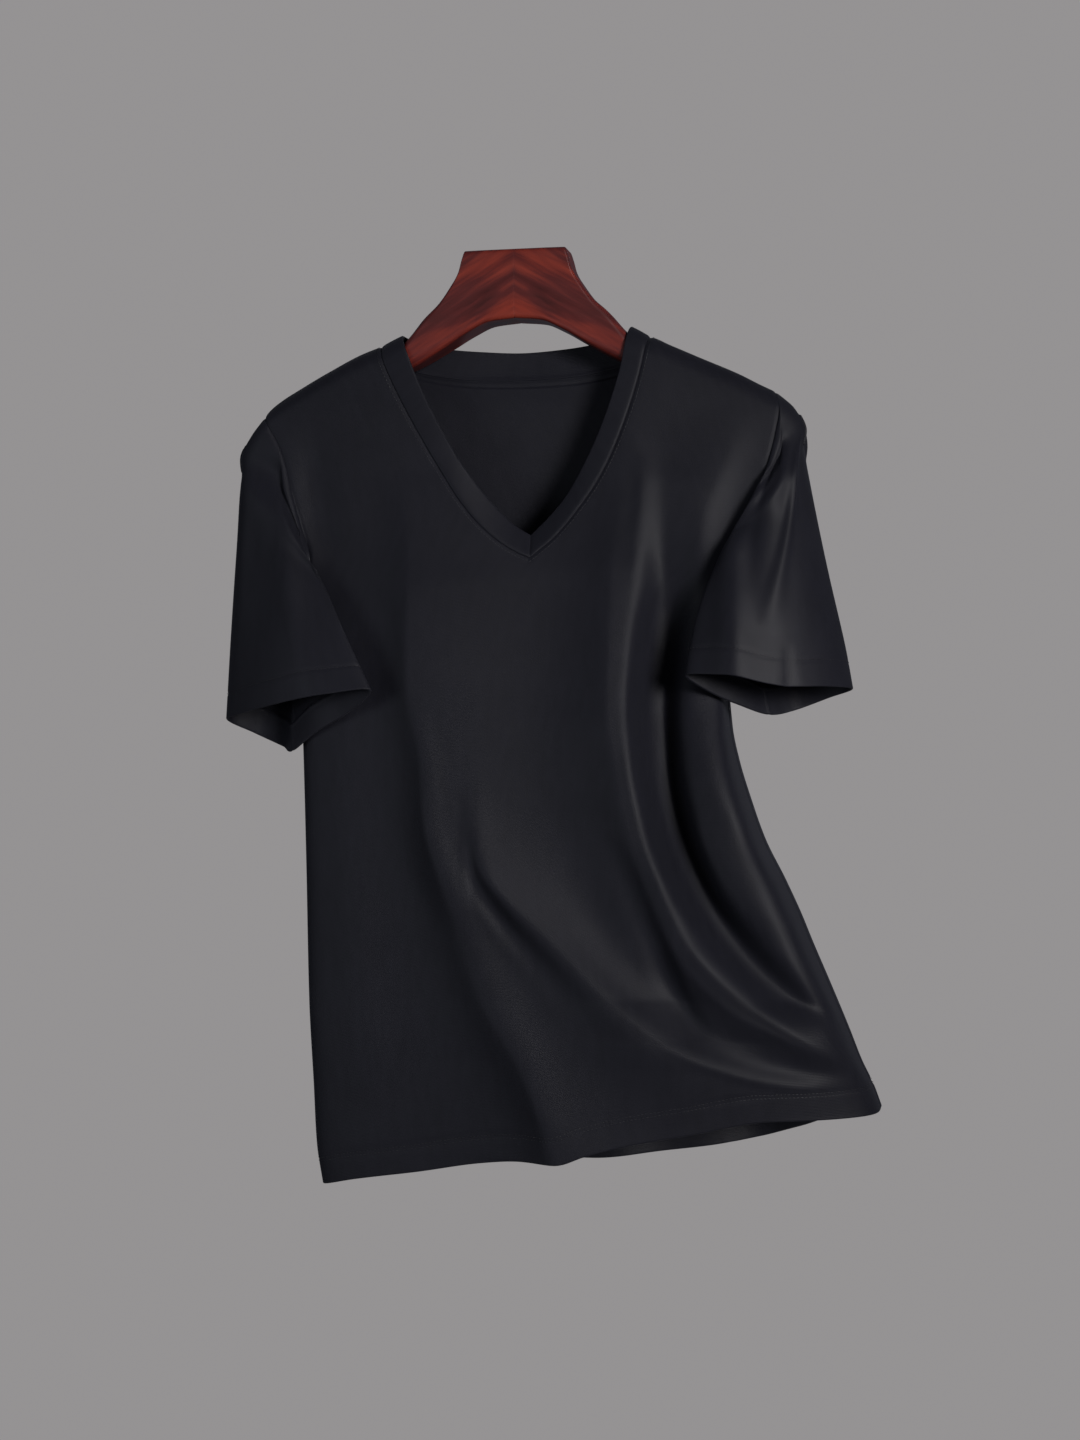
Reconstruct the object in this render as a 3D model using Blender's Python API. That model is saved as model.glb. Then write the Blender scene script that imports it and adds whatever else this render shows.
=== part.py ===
"""V-neck t-shirt on a wooden hanger, drawn in metres from sizes in centimetres.

+Z is up, X runs along the hanger and the shirt's front faces -Y. The origin is the middle of the
hanger's flat top, where the hanger is held. Each cloth piece is a wall of even thickness.
"""

import math

import bpy
import numpy as np

CM = 0.01
WALL = 0.13          # cloth wall, cm
BAND_WALL = 0.16     # folded neckband wall, cm
SEAM_GAP = 0.03      # between two sewn pieces, cm
ROLL = 1.7           # how far the cloth stands off the hanger's middle plane at the shoulders, cm
FOLD_SOFT = 1.12     # every fold's width, times this
SIDE_SQUARE = 2.4    # how squarely the body turns at its sides (2 is an ellipse)

# Front columns left and right of the V; rows from the hem to the underarm, in front and behind;
# rows from there to the V and from the V to the shoulder; rings down a sleeve.
COLS_LEFT, COLS_RIGHT = 20, 25
ROWS_FRONT, ROWS_BACK = 28, 16
ROWS_MIDDLE, ROWS_HIGH = 2, 14
ROW_DIP = 0.17       # how far the front's rows dip to the right, share of the body's height
RINGS = 12

# Left and right edges of the body, hem to shoulder point: height, sideways, seam depth,
# then how far the front and back edges part at the armhole.
EDGE_LEFT = [
    # z, x, seam_y, part
    (-72.1, -15.3, 0.0, 0.0),
    (-69.1, -15.8, 0.0, 0.0),
    (-64.4, -16.1, 0.1, 0.0),
    (-58.1, -16.5, 0.2, 0.0),
    (-47.1, -16.8, 0.3, 0.0),
    (-38.6, -17.1, 0.4, 0.0),
    (-34.0, -17.3, 0.4, 0.0),
    (-30.77, -17.3, 0.4, 0.0),
    (-28.0, -16.8, 0.2, 1.3),
    (-25.5, -16.3, 0.0, 1.9),
    (-23.5, -16.1, 0.0, 2.2),
    (-20.7, -16.8, 0.0, 2.2),
    (-18.8, -17.4, 0.0, 2.1),
    (-16.4, -18.1, 0.0, 1.9),
    (-14.8, -18.7, 0.0, 1.8),
    (-13.2, -19.6, 0.0, 1.75),
    (-12.2, -20.3, 0.0, 1.7),
]
EDGE_RIGHT = [
    # z, x, seam_y, part
    (-65.1, 27.7, 1.0, 0.0),
    (-63.5, 27.1, 1.0, 0.0),
    (-61.7, 26.2, 1.0, 0.0),
    (-59.5, 25.3, 1.0, 0.0),
    (-56.0, 23.8, 1.0, 0.0),
    (-53.0, 22.5, 1.0, 0.0),
    (-50.8, 21.6, 1.0, 0.0),
    (-48.2, 20.4, 1.0, 0.0),
    (-45.2, 18.9, 0.9, 0.0),
    (-42.1, 17.8, 0.8, 0.0),
    (-39.1, 16.9, 0.7, 0.0),
    (-36.6, 16.4, 0.6, 0.0),
    (-32.0, 16.1, 0.5, 0.0),
    (-28.05, 16.5, 0.4, 0.0),
    (-26.2, 17.0, 0.2, 1.3),
    (-24.5, 17.6, 0.0, 1.9),
    (-21.9, 18.4, 0.0, 2.2),
    (-17.9, 19.2, 0.0, 2.2),
    (-16.6, 19.5, 0.0, 2.0),
    (-14.6, 20.0, 0.0, 1.85),
    (-12.9, 20.3, 0.0, 1.75),
    (-11.4, 19.9, 0.0, 1.7),
]
UNDERARM = 0.69      # share of the body's height

# Shoulder line, point to point, level between the two collar points.
SHOULDER = [
    # x, z
    (-20.3, -12.2),
    (-19.8, -11.6),
    (-18.8, -10.85),
    (-17.5, -10.1),
    (-15.1, -8.8),
    (-11.9, -7.3),
    (-10.7, -6.95),
    (-8.0, -6.75),
    (8.0, -6.75),
    (10.4, -6.95),
    (11.9, -7.6),
    (14.1, -8.6),
    (17.2, -10.0),
    (18.7, -10.8),
    (19.9, -11.4),
]
HEM_FRONT = [
    # x, z
    (-15.3, -72.1),
    (-11.9, -71.2),
    (-6.7, -70.3),
    (-1.9, -69.4),
    (1.3, -69.0),
    (4.6, -68.8),
    (6.6, -68.1),
    (9.9, -67.2),
    (14.5, -66.3),
    (20.0, -65.3),
    (24.5, -65.2),
    (27.7, -65.1),
]
HEM_BACK = [
    # x, z
    (-15.3, -72.1),
    (-11.0, -71.4),
    (-5.0, -71.0),
    (0.0, -70.7),
    (5.2, -70.3),
    (9.3, -69.8),
    (13.2, -69.3),
    (18.3, -68.4),
    (21.3, -67.3),
    (24.0, -66.2),
    (27.7, -65.1),
]
# How far the cloth stands in front of, and behind, the shoulder depth, by height up the body.
DEPTH = [
    # share of height, front, back
    (0.0, 2.9, 2.8),
    (0.2, 2.5, 2.5),
    (0.45, 2.0, 2.0),
    (0.6, 1.5, 1.6),
    (0.75, 0.9, 1.0),
    (0.9, 0.25, 0.4),
    (1.0, 0.0, 0.0),
]

# Neck seam on the front panel, V to collar points, and on the back panel.
V_POINT = (1.6, -23.8)
NECK_LEFT = [
    # z, x
    (-23.8, 1.6),
    (-23.5, 0.8),
    (-22.1, -1.4),
    (-20.0, -3.5),
    (-16.7, -5.8),
    (-13.9, -7.5),
    (-11.2, -9.0),
    (-9.6, -9.8),
    (-8.2, -10.4),
    (-6.9, -10.8),
]
NECK_RIGHT = [
    # z, x
    (-23.8, 1.6),
    (-22.3, 3.4),
    (-20.3, 5.1),
    (-17.8, 6.8),
    (-15.3, 8.0),
    (-11.9, 9.2),
    (-9.8, 9.8),
    (-8.4, 10.1),
    (-6.9, 10.35),
]
NECK_BACK = [
    # x, drop under the shoulder line
    (-10.8, 0.0),
    (-9.6, 1.5),
    (-7.5, 2.3),
    (-3.4, 2.85),
    (0.0, 2.95),
    (3.4, 2.85),
    (7.2, 2.3),
    (9.2, 1.5),
    (10.35, 0.0),
]
# The neckband's free edge, V to collar, then across the back.
BAND_LEFT = [
    # x, z
    (1.45, -22.0),
    (0.3, -21.3),
    (-1.1, -20.0),
    (-2.9, -17.9),
    (-4.4, -15.8),
    (-5.9, -13.2),
    (-7.0, -11.1),
    (-7.7, -9.5),
    (-8.3, -8.0),
    (-8.7, -7.0),
    (-9.1, -6.15),
]
BAND_RIGHT = [
    # x, z
    (1.45, -22.0),
    (2.7, -20.8),
    (4.1, -19.2),
    (5.4, -17.0),
    (6.7, -14.2),
    (7.7, -11.4),
    (8.3, -9.3),
    (8.6, -7.7),
    (8.9, -6.1),
]
BAND_BACK = [
    # x, y, z
    (-9.1, 0.0, -6.15),
    (-8.9, 0.9, -6.25),
    (-8.5, 1.5, -6.5),
    (-7.6, 1.75, -6.85),
    (-5.9, 1.85, -7.05),
    (-3.4, 1.95, -7.3),
    (0.0, 2.05, -7.5),
    (3.6, 1.95, -7.3),
    (5.6, 1.85, -7.05),
    (7.4, 1.75, -6.8),
    (8.3, 1.5, -6.45),
    (8.7, 0.9, -6.2),
    (8.9, 0.0, -6.1),
]

# Folds that run down: height on the body, sideways, how far they stand out (or sink), widths.
FOLD_COLUMNS = "z x out left right"
FOLDS_DOWN = {
    "left_ridge": [
        (-20.0, -7.9, 0.0, 1.6, 2.6),
        (-29.0, -7.2, 0.5, 1.6, 2.6),
        (-35.7, -6.6, 0.8, 1.5, 2.6),
        (-40.8, -5.2, 1.0, 1.4, 2.6),
        (-46.4, -4.0, 1.2, 1.4, 2.4),
        (-49.8, -2.9, 1.3, 1.4, 2.2),
        (-53.7, -0.9, 1.5, 1.4, 2.0),
        (-57.6, 0.4, 1.6, 1.5, 2.2),
        (-61.7, 3.1, 1.8, 1.6, 2.4),
        (-65.0, 4.3, 2.0, 1.9, 2.4),
        (-69.0, 4.9, 2.1, 2.1, 2.4),
    ],
    "left_valley": [
        (-21.0, -9.6, 0.0, 2.2, 1.3),
        (-26.0, -9.6, -0.5, 2.2, 1.3),
        (-31.0, -9.4, -0.7, 2.4, 1.3),
        (-39.2, -7.8, -0.8, 2.6, 1.3),
        (-45.5, -6.0, -0.9, 2.6, 1.3),
        (-51.6, -4.4, -0.9, 2.6, 1.3),
        (-57.7, -2.6, -0.9, 2.6, 1.3),
        (-62.3, -0.4, -0.8, 2.6, 1.4),
        (-66.2, 1.6, -0.5, 2.4, 1.4),
        (-70.0, 2.0, -0.2, 2.2, 1.4),
    ],
    "right_ridge": [
        (-16.0, 9.4, 0.0, 3.0, 1.6),
        (-22.6, 9.5, 0.6, 3.0, 1.6),
        (-25.9, 9.7, 0.9, 3.0, 1.5),
        (-32.4, 9.9, 1.4, 2.8, 1.4),
        (-37.3, 10.1, 1.8, 2.6, 1.3),
        (-43.0, 10.7, 2.1, 2.3, 1.2),
        (-46.2, 11.6, 2.2, 2.0, 1.2),
        (-48.2, 12.4, 2.2, 1.8, 1.2),
        (-50.1, 13.4, 2.0, 1.7, 1.2),
        (-53.8, 16.8, 1.6, 1.6, 1.3),
        (-56.1, 19.7, 1.4, 1.6, 1.4),
        (-58.5, 23.2, 1.1, 1.6, 1.4),
        (-61.1, 26.4, 0.6, 1.4, 1.2),
        (-63.0, 28.0, 0.0, 1.4, 1.2),
    ],
    "deep_trough": [
        (-19.0, 12.6, 0.0, 1.6, 2.2),
        (-24.1, 12.9, -1.0, 1.6, 2.2),
        (-30.1, 13.1, -2.4, 1.5, 2.0),
        (-37.7, 13.0, -3.2, 1.5, 1.7),
        (-43.6, 13.3, -3.2, 1.4, 1.5),
        (-47.3, 14.3, -2.6, 1.3, 1.5),
        (-49.8, 15.7, -2.0, 1.2, 1.4),
        (-54.0, 18.9, -1.3, 1.2, 1.5),
        (-56.8, 21.9, -0.9, 1.2, 1.5),
        (-60.4, 25.6, -0.4, 1.2, 1.4),
        (-62.0, 27.0, 0.0, 1.2, 1.4),
    ],
    "middle_valley": [
        (-26.0, 5.2, 0.0, 2.4, 1.8),
        (-34.0, 6.0, -0.6, 2.4, 1.8),
        (-40.0, 7.0, -0.9, 2.2, 1.6),
        (-45.0, 8.2, -1.2, 2.0, 1.5),
        (-51.3, 10.4, -1.4, 1.7, 1.3),
        (-54.4, 12.3, -1.3, 1.5, 1.2),
        (-57.6, 14.6, -1.1, 1.4, 1.2),
        (-60.2, 17.6, -0.8, 1.3, 1.2),
        (-61.4, 21.2, -0.4, 1.3, 1.2),
        (-62.4, 23.0, 0.0, 1.3, 1.2),
    ],
    "side_ridge": [
        (-38.0, 14.6, 0.0, 0.9, 1.2),
        (-43.7, 15.4, 0.5, 0.9, 1.2),
        (-46.5, 16.6, 0.7, 1.0, 1.3),
        (-50.1, 19.2, 0.7, 1.1, 1.3),
        (-55.2, 22.4, 0.4, 1.1, 1.3),
        (-58.5, 24.4, 0.0, 1.1, 1.3),
    ],
    "left_plain": [
        (-34.0, -13.4, 0.0, 1.2, 1.6),
        (-44.0, -13.2, 0.3, 1.2, 1.6),
        (-58.0, -12.6, 0.35, 1.2, 1.6),
        (-68.0, -12.0, 0.2, 1.2, 1.6),
    ],
    "left_chest": [
        (-12.0, -16.6, 0.0, 1.1, 1.4),
        (-15.0, -16.3, -0.35, 1.1, 1.4),
        (-20.0, -15.6, -0.45, 1.1, 1.4),
        (-25.0, -14.2, 0.0, 1.1, 1.4),
    ],
}
# Folds that run across, from the left ridge down to the right corner.
FOLDS_ACROSS = {
    "sweep_crease": [
        # x, z, out, below, above
        (-3.6, -44.6, 0.0, 1.0, 0.8),
        (-2.4, -47.6, -0.7, 1.1, 0.8),
        (-0.5, -50.6, -1.0, 1.3, 0.8),
        (1.7, -53.2, -0.9, 1.5, 0.8),
        (4.6, -56.0, -0.6, 1.8, 0.9),
        (8.0, -58.6, -0.4, 2.0, 1.0),
        (14.0, -62.0, -0.2, 2.0, 1.0),
        (18.0, -63.6, 0.0, 2.0, 1.0),
    ],
    "sweep_ridge": [
        (-3.0, -44.0, 0.0, 1.0, 2.0),
        (0.5, -49.6, 0.7, 1.0, 2.2),
        (3.7, -52.8, 1.0, 1.1, 2.2),
        (7.6, -55.8, 1.1, 1.3, 1.9),
        (10.7, -58.0, 1.2, 1.4, 1.6),
        (15.1, -60.7, 1.2, 1.4, 1.4),
        (19.2, -62.4, 1.1, 1.3, 1.2),
        (23.6, -62.9, 0.7, 1.2, 1.0),
        (26.0, -62.8, 0.0, 1.2, 1.0),
    ],
}
# The back panel's folds, plainer than the front's and of the same sizes.
FOLDS_BACK = {
    "back_left": [
        (-16.0, -7.0, 0.0, 2.4, 2.4),
        (-30.0, -6.4, 0.7, 2.4, 2.2),
        (-46.0, -4.6, 1.2, 2.4, 2.0),
        (-60.0, -2.2, 1.5, 2.6, 2.2),
        (-71.0, -0.6, 1.7, 2.8, 2.6),
    ],
    "back_middle": [
        (-22.0, 1.6, 0.0, 2.2, 2.2),
        (-36.0, 2.2, -0.7, 2.2, 2.2),
        (-52.0, 4.2, -1.0, 2.4, 2.2),
        (-71.0, 7.0, -1.2, 2.6, 2.6),
    ],
    "back_right": [
        (-14.0, 9.0, 0.0, 2.2, 2.2),
        (-28.0, 9.2, 0.9, 2.2, 1.8),
        (-44.0, 10.4, 1.4, 2.2, 1.7),
        (-56.0, 14.6, 1.4, 2.2, 1.8),
        (-69.0, 18.6, 1.2, 2.4, 2.2),
    ],
    "back_edge": [
        (-30.0, 13.4, 0.0, 1.5, 1.4),
        (-44.0, 14.6, -0.9, 1.5, 1.4),
        (-56.0, 18.8, -0.9, 1.5, 1.5),
        (-66.0, 22.6, -0.6, 1.6, 1.6),
    ],
}

# Sleeves. A ring's share 0 is its outer edge, TIP its front fold and UNDER its underarm.
TIP, UNDER = 0.40, 0.66
CUFF_LEFT = [
    # share, x, y, z
    (0.00, -23.6, -0.3, -36.05),
    (0.08, -21.7, -2.6, -35.6),
    (0.20, -17.6, -5.4, -34.8),
    (0.31, -13.4, -6.5, -34.1),
    (0.40, -10.0, -6.0, -33.8),
    (0.50, -12.4, -4.1, -35.6),
    (0.58, -15.2, -3.0, -37.0),
    (0.66, -17.7, -1.2, -38.5),
    (0.76, -19.2, 0.9, -38.2),
    (0.88, -22.0, 1.7, -37.1),
]
CUFF_RIGHT = [
    # share, x, y, z
    (0.00, 25.7, -0.5, -33.75),
    (0.08, 24.1, -3.6, -33.6),
    (0.18, 21.0, -6.2, -33.6),
    (0.29, 17.2, -7.1, -32.9),
    (0.40, 13.8, -5.8, -32.8),
    (0.48, 15.3, -4.3, -34.0),
    (0.57, 17.4, -2.4, -35.0),
    (0.66, 19.3, -0.2, -35.7),
    (0.76, 21.0, 1.7, -35.4),
    (0.88, 23.8, 1.5, -34.4),
]
# Down a sleeve: share of its length, how far its outer edge stands out, its front and back
# stand out, and its front fold leans.
SLEEVE_LEFT = [
    # share, outer, front, back, tip
    (0.00, 0.0, 0.0, 0.0, 0.0),
    (0.06, 1.0, 0.15, 0.1, 0.0),
    (0.13, 1.7, 0.1, 0.2, 0.0),
    (0.20, 1.35, -0.1, 0.4, 0.0),
    (0.38, 1.1, 0.5, 0.8, 0.1),
    (0.74, 0.5, 0.4, 0.6, 0.1),
    (1.00, 0.0, 0.0, 0.0, 0.0),
]
SLEEVE_RIGHT = [
    # share, outer, front, back, tip
    (0.00, 0.0, 0.0, 0.0, 0.0),
    (0.06, 1.1, 0.15, 0.1, 0.0),
    (0.12, 1.45, 0.1, 0.2, 0.0),
    (0.19, 0.95, -0.1, 0.4, 0.1),
    (0.28, 0.8, 0.4, 0.6, 0.3),
    (0.62, 0.4, 0.6, 0.8, 0.7),
    (0.85, 0.25, 0.3, 0.4, 0.4),
    (1.00, 0.0, 0.0, 0.0, 0.0),
]
TIP_HEIGHT = {-1: -23.5, 1: -18.4}   # where the front fold crosses the armhole seam
# Where the sleeve folds over its own seam: how far it stands off the body and past the seam.
CURL = [
    # share, off, past
    (0.0, 0.0, 0.0),
    (0.008, 0.16, 0.17),
    (0.035, 0.38, 0.16),
    (0.08, 0.5, 0.05),
    (0.25, 0.55, 0.0),
    (1.0, 0.0, 0.0),
]
CREASE_AT, CREASE_DEEP, CREASE_WIDE = 0.15, 0.6, 0.06
SWELL_AT, SWELL_OUT, SWELL_WIDE = 0.27, 0.7, 0.09

# Hanger: half of its length, from the middle out. Inside the shirt its top follows the shoulder.
HANGER_END = 19.3
HANGER_UNDER_CLOTH = 10.4
HANGER_CLEAR = 0.3
HANGER_TOP = [
    # x, z
    (0.0, 0.0),
    (3.9, 0.0),
    (4.15, -0.6),
    (4.4, -1.5),
    (5.1, -2.7),
    (6.0, -3.9),
    (7.2, -5.0),
    (8.4, -6.35),
    (9.6, -7.4),
    (10.4, -7.65),
]
HANGER_BODY = [
    # x, underside, half depth, edge radius
    (0.0, -5.3, 1.5, 0.35),
    (2.0, -5.5, 1.5, 0.35),
    (3.6, -6.2, 1.48, 0.4),
    (5.3, -7.2, 1.45, 0.5),
    (7.9, -8.65, 1.4, 0.8),
    (9.6, -9.4, 1.38, 1.1),
    (14.0, -11.5, 1.36, 1.25),
    (18.0, -13.3, 1.32, 1.2),
    (19.0, -13.5, 1.1, 1.0),
    (19.3, -13.2, 0.7, 0.65),
]


# ---------------------------------------------------------------- curves

def curve(keys, values, at):
    """A smooth line through a table's points that never swings past them."""
    k, v = np.asarray(keys, float), np.asarray(values, float)
    a = np.clip(np.asarray(at, float), k[0], k[-1])
    step, rise = np.diff(k), np.diff(v)
    slope = rise / step
    m = np.zeros(len(k))
    m[0], m[-1] = slope[0], slope[-1]
    same = slope[:-1] * slope[1:] > 0
    w1, w2 = 2 * step[1:] + step[:-1], step[1:] + 2 * step[:-1]
    safe = np.where(same, slope[:-1], 1.0), np.where(same, slope[1:], 1.0)
    m[1:-1] = np.where(same, (w1 + w2) / (w1 / safe[0] + w2 / safe[1]), 0.0)
    i = np.clip(np.searchsorted(k, a, side="right") - 1, 0, len(k) - 2)
    h = step[i]
    t = (a - k[i]) / h
    return (
        (2 * t ** 3 - 3 * t ** 2 + 1) * v[i]
        + (t ** 3 - 2 * t ** 2 + t) * h * m[i]
        + (-2 * t ** 3 + 3 * t ** 2) * v[i + 1]
        + (t ** 3 - t ** 2) * h * m[i + 1]
    )


def column(table, n):
    return [row[n] for row in table]


def along(table, n, at):
    """Column n of a table, read at values of its first column."""
    return curve(column(table, 0), column(table, n), at)


def smooth(x):
    x = np.clip(x, 0.0, 1.0)
    return x * x * (3 - 2 * x)


def by_length(points, shares):
    """Points at equal shares of a line's length."""
    p = np.asarray(points, float)
    run = np.concatenate([[0.0], np.cumsum(np.linalg.norm(np.diff(p, axis=0), axis=1))])
    run /= run[-1]
    return np.stack([np.interp(shares, run, p[:, c]) for c in range(3)], axis=-1)


def unit(v):
    return v / np.maximum(np.linalg.norm(v, axis=-1, keepdims=True), 1e-12)


# ---------------------------------------------------------------- body surface

def roll(under):
    """Depth of cloth that goes over the hanger's round shoulder, by how far under the line it is."""
    h = np.clip(under / ROLL, 0.0, 1.0)
    return ROLL * np.sqrt(1 - (1 - h) ** 2)


def fold_down(x, z, rows):
    near = along(rows[::-1], 1, z)
    lean = (along(rows[::-1], 1, z + 0.2) - along(rows[::-1], 1, z - 0.2)) / 0.4
    off = (x - near) / np.sqrt(1 + lean ** 2)
    wide = np.where(off < 0, along(rows[::-1], 3, z), along(rows[::-1], 4, z))
    return along(rows[::-1], 2, z) * np.exp(-(off / (wide * FOLD_SOFT)) ** 2)


def fold_across(x, z, rows):
    near = along(rows, 1, x)
    lean = (along(rows, 1, x + 0.2) - along(rows, 1, x - 0.2)) / 0.4
    off = (z - near) / np.sqrt(1 + lean ** 2)
    wide = np.where(off < 0, along(rows, 3, x), along(rows, 4, x))
    return along(rows, 2, x) * np.exp(-(off / (wide * FOLD_SOFT)) ** 2)


def front_folds(x, z):
    out = sum(fold_down(x, z, rows) for rows in FOLDS_DOWN.values())
    return out + sum(fold_across(x, z, rows) for rows in FOLDS_ACROSS.values())


def back_folds(x, z):
    return sum(fold_down(x, z, rows) for rows in FOLDS_BACK.values())


def body(u, v, face):
    """The cloth's outer face at share u across and v up; face is -1 in front and +1 behind."""
    u, v = np.broadcast_arrays(np.asarray(u, float), np.asarray(v, float))
    hem = HEM_FRONT if face < 0 else HEM_BACK
    low_l, low_r = EDGE_LEFT[0], EDGE_RIGHT[0]
    top_l, top_r = EDGE_LEFT[-1], EDGE_RIGHT[-1]
    z_l = low_l[0] + (top_l[0] - low_l[0]) * v
    z_r = low_r[0] + (top_r[0] - low_r[0]) * v
    x = along(EDGE_LEFT, 1, z_l) * (1 - u) + along(EDGE_RIGHT, 1, z_r) * u
    x_low = low_l[1] * (1 - u) + low_r[1] * u
    x_top = top_l[1] * (1 - u) + top_r[1] * u
    z_hem = along(hem, 1, x_low)
    z_top = along(SHOULDER, 1, x_top)
    if face > 0:
        z_top = z_top - along(NECK_BACK, 1, x_top)
    z = z_hem + (z_top - z_hem) * v
    over = roll(along(SHOULDER, 1, x) - z)
    part_l, part_r = along(EDGE_LEFT, 3, z_l), along(EDGE_RIGHT, 3, z_r)
    share = over / ROLL
    edge = (along(EDGE_LEFT, 2, z_l) + face * part_l * share) * (1 - u)
    edge = edge + (along(EDGE_RIGHT, 2, z_r) + face * part_r * share) * u
    deep = face * (over + along(DEPTH, 1 if face < 0 else 2, v))
    across = np.clip(np.abs(2 * u - 1), 0, 1)
    square = (1 - across ** SIDE_SQUARE) ** (1 / SIDE_SQUARE)
    ease = smooth(np.minimum(u, 1 - u) / 0.10) * smooth((1 - v) / 0.12)
    folds = front_folds(x, z) if face < 0 else back_folds(x, z)
    y = edge + square * (deep - edge) + face * folds * ease
    return np.stack([x, y, z], axis=-1)


def body_normal(u, v, face):
    """Outward direction of the body's surface."""
    d = 2e-3
    u0, u1 = np.clip(u - d, 0, 1), np.clip(u + d, 0, 1)
    v0, v1 = np.clip(v - d, 0, 1), np.clip(v + d, 0, 1)
    du = body(u1, v, face) - body(u0, v, face)
    dv = body(u, v1, face) - body(u, v0, face)
    return unit(np.cross(du, dv) * -face)


def neck_share(v, side):
    """Share across the front at which the neck seam crosses height v."""
    rows = NECK_LEFT if side < 0 else NECK_RIGHT
    lo, hi = (0.0, V_SHARE[0]) if side < 0 else (V_SHARE[0], 1.0)
    lo, hi = np.full(np.shape(v), lo), np.full(np.shape(v), hi)
    for _ in range(40):
        mid = (lo + hi) / 2
        p = body(mid, v, -1)
        right_of = p[..., 0] > along(rows, 1, p[..., 2])
        hi, lo = np.where(right_of, mid, hi), np.where(right_of, lo, mid)
    return (lo + hi) / 2


def find_v_point():
    """The V's place in shares across and up the front."""
    u = v = 0.5
    for _ in range(60):
        p = body(u, v, -1)
        u = float(np.clip(u + (V_POINT[0] - p[0]) / 36.0, 0, 1))
        v = float(np.clip(v + (V_POINT[1] - p[2]) / 60.0, 0, 1))
    return u, v


V_SHARE = find_v_point()


# ---------------------------------------------------------------- solids

def make_material(name, colour, rough):
    mat = bpy.data.materials.new(name)
    mat.use_nodes = True
    shader = mat.node_tree.nodes["Principled BSDF"]
    shader.inputs["Base Color"].default_value = (*colour, 1.0)
    shader.inputs["Roughness"].default_value = rough
    return mat


def make_object(name, points, faces, mat):
    mesh = bpy.data.meshes.new(name)
    mesh.from_pydata([tuple(p * CM) for p in points], [], faces)
    mesh.materials.append(mat)
    mesh.update()
    obj = bpy.data.objects.new(name, mesh)
    bpy.context.scene.collection.objects.link(obj)
    return obj


def thicken(points, normals, faces, wall):
    """A closed wall from one face of cloth: the face, its copy moved in, and the rims."""
    n = len(points)
    both = np.concatenate([points, points - normals * wall])
    solid = [tuple(f) for f in faces] + [tuple(i + n for i in reversed(f)) for f in faces]
    used = {}
    for f in faces:
        for a, b in zip(f, f[1:] + f[:1]):
            used[(a, b)] = True
    for a, b in used:
        if (b, a) not in used:
            solid.append((b, a, a + n, b + n))
    return both, solid


def edge_spread(count, both_ends):
    """Shares of a run of columns, closer together where the body turns."""
    k = np.linspace(0, 1, count + 1)
    if both_ends:
        return 0.55 * k + 0.45 * (1 - np.cos(math.pi * k)) / 2
    return 0.6 * k + 0.4 * (1 - np.cos(math.pi / 2 * k))


def rows_up(low, middle=ROWS_MIDDLE, high=ROWS_HIGH):
    """Heights of the rows: hem, underarm, V, then closing up over the hanger's shoulder."""
    under = np.linspace(0, UNDERARM, low + 1)
    between = np.linspace(UNDERARM, V_SHARE[1], middle + 1)[1:]
    over = V_SHARE[1] + (1 - V_SHARE[1]) * np.sin(np.linspace(0, math.pi / 2, high + 1)[1:])
    return np.concatenate([under, between, over])


def at_side(u):
    return (u < 1e-6) | (u > 1 - 1e-6)


def seam_normals(u, v, face):
    """A panel's outward direction, squared up at its seams so that two walls stay apart."""
    n = body_normal(u, v, face)
    flat = n.copy()
    flat[..., 1] = 0
    flat = unit(flat)
    side = smooth((UNDERARM + 0.05 - v) / 0.05) * at_side(u)
    on_top = smooth(1 - np.abs(body(u, v, face)[..., 1]) / 0.6) * (v > 1 - 1e-6)
    w = np.maximum(side, on_top)[..., None]
    return unit(n * (1 - w) + flat * w)


def pull_back(points, u, v, face):
    """Half a seam's gap off the side and shoulder seams."""
    p = points.copy()
    seam = at_side(u) & (v < UNDERARM + 1e-6) | (v > 1 - 1e-6)
    p[..., 1] += face * seam * SEAM_GAP / 2
    return p


def split_quads(points, faces):
    """Cut each quad along the diagonal that bends least."""
    out = []
    for f in faces:
        if len(f) != 4:
            out.append(tuple(f))
            continue
        a, b, c, d = (points[i] for i in f)
        one = unit(np.cross(b - a, c - a)) @ unit(np.cross(c - a, d - a))
        two = unit(np.cross(b - a, d - a)) @ unit(np.cross(c - b, d - b))
        i, j, k, m = f
        out += [(i, j, k), (i, k, m)] if one >= two else [(i, j, m), (j, k, m)]
    return out


def mesh_normals(points, faces):
    """Each point's outward direction, the mean of the faces round it."""
    n = np.zeros_like(points)
    for f in faces:
        a, b, c = (points[i] for i in f[:3])
        n[list(f)] += np.cross(b - a, c - a)
    return unit(n)


def slant(u, v):
    """Rows dip to the right under the underarm, the way the folds there run."""
    dip = ROW_DIP * np.sin(math.pi * np.clip(v / UNDERARM, 0, 1)) ** 2
    return v - dip * smooth((u - 0.3) / 0.6)


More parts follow.
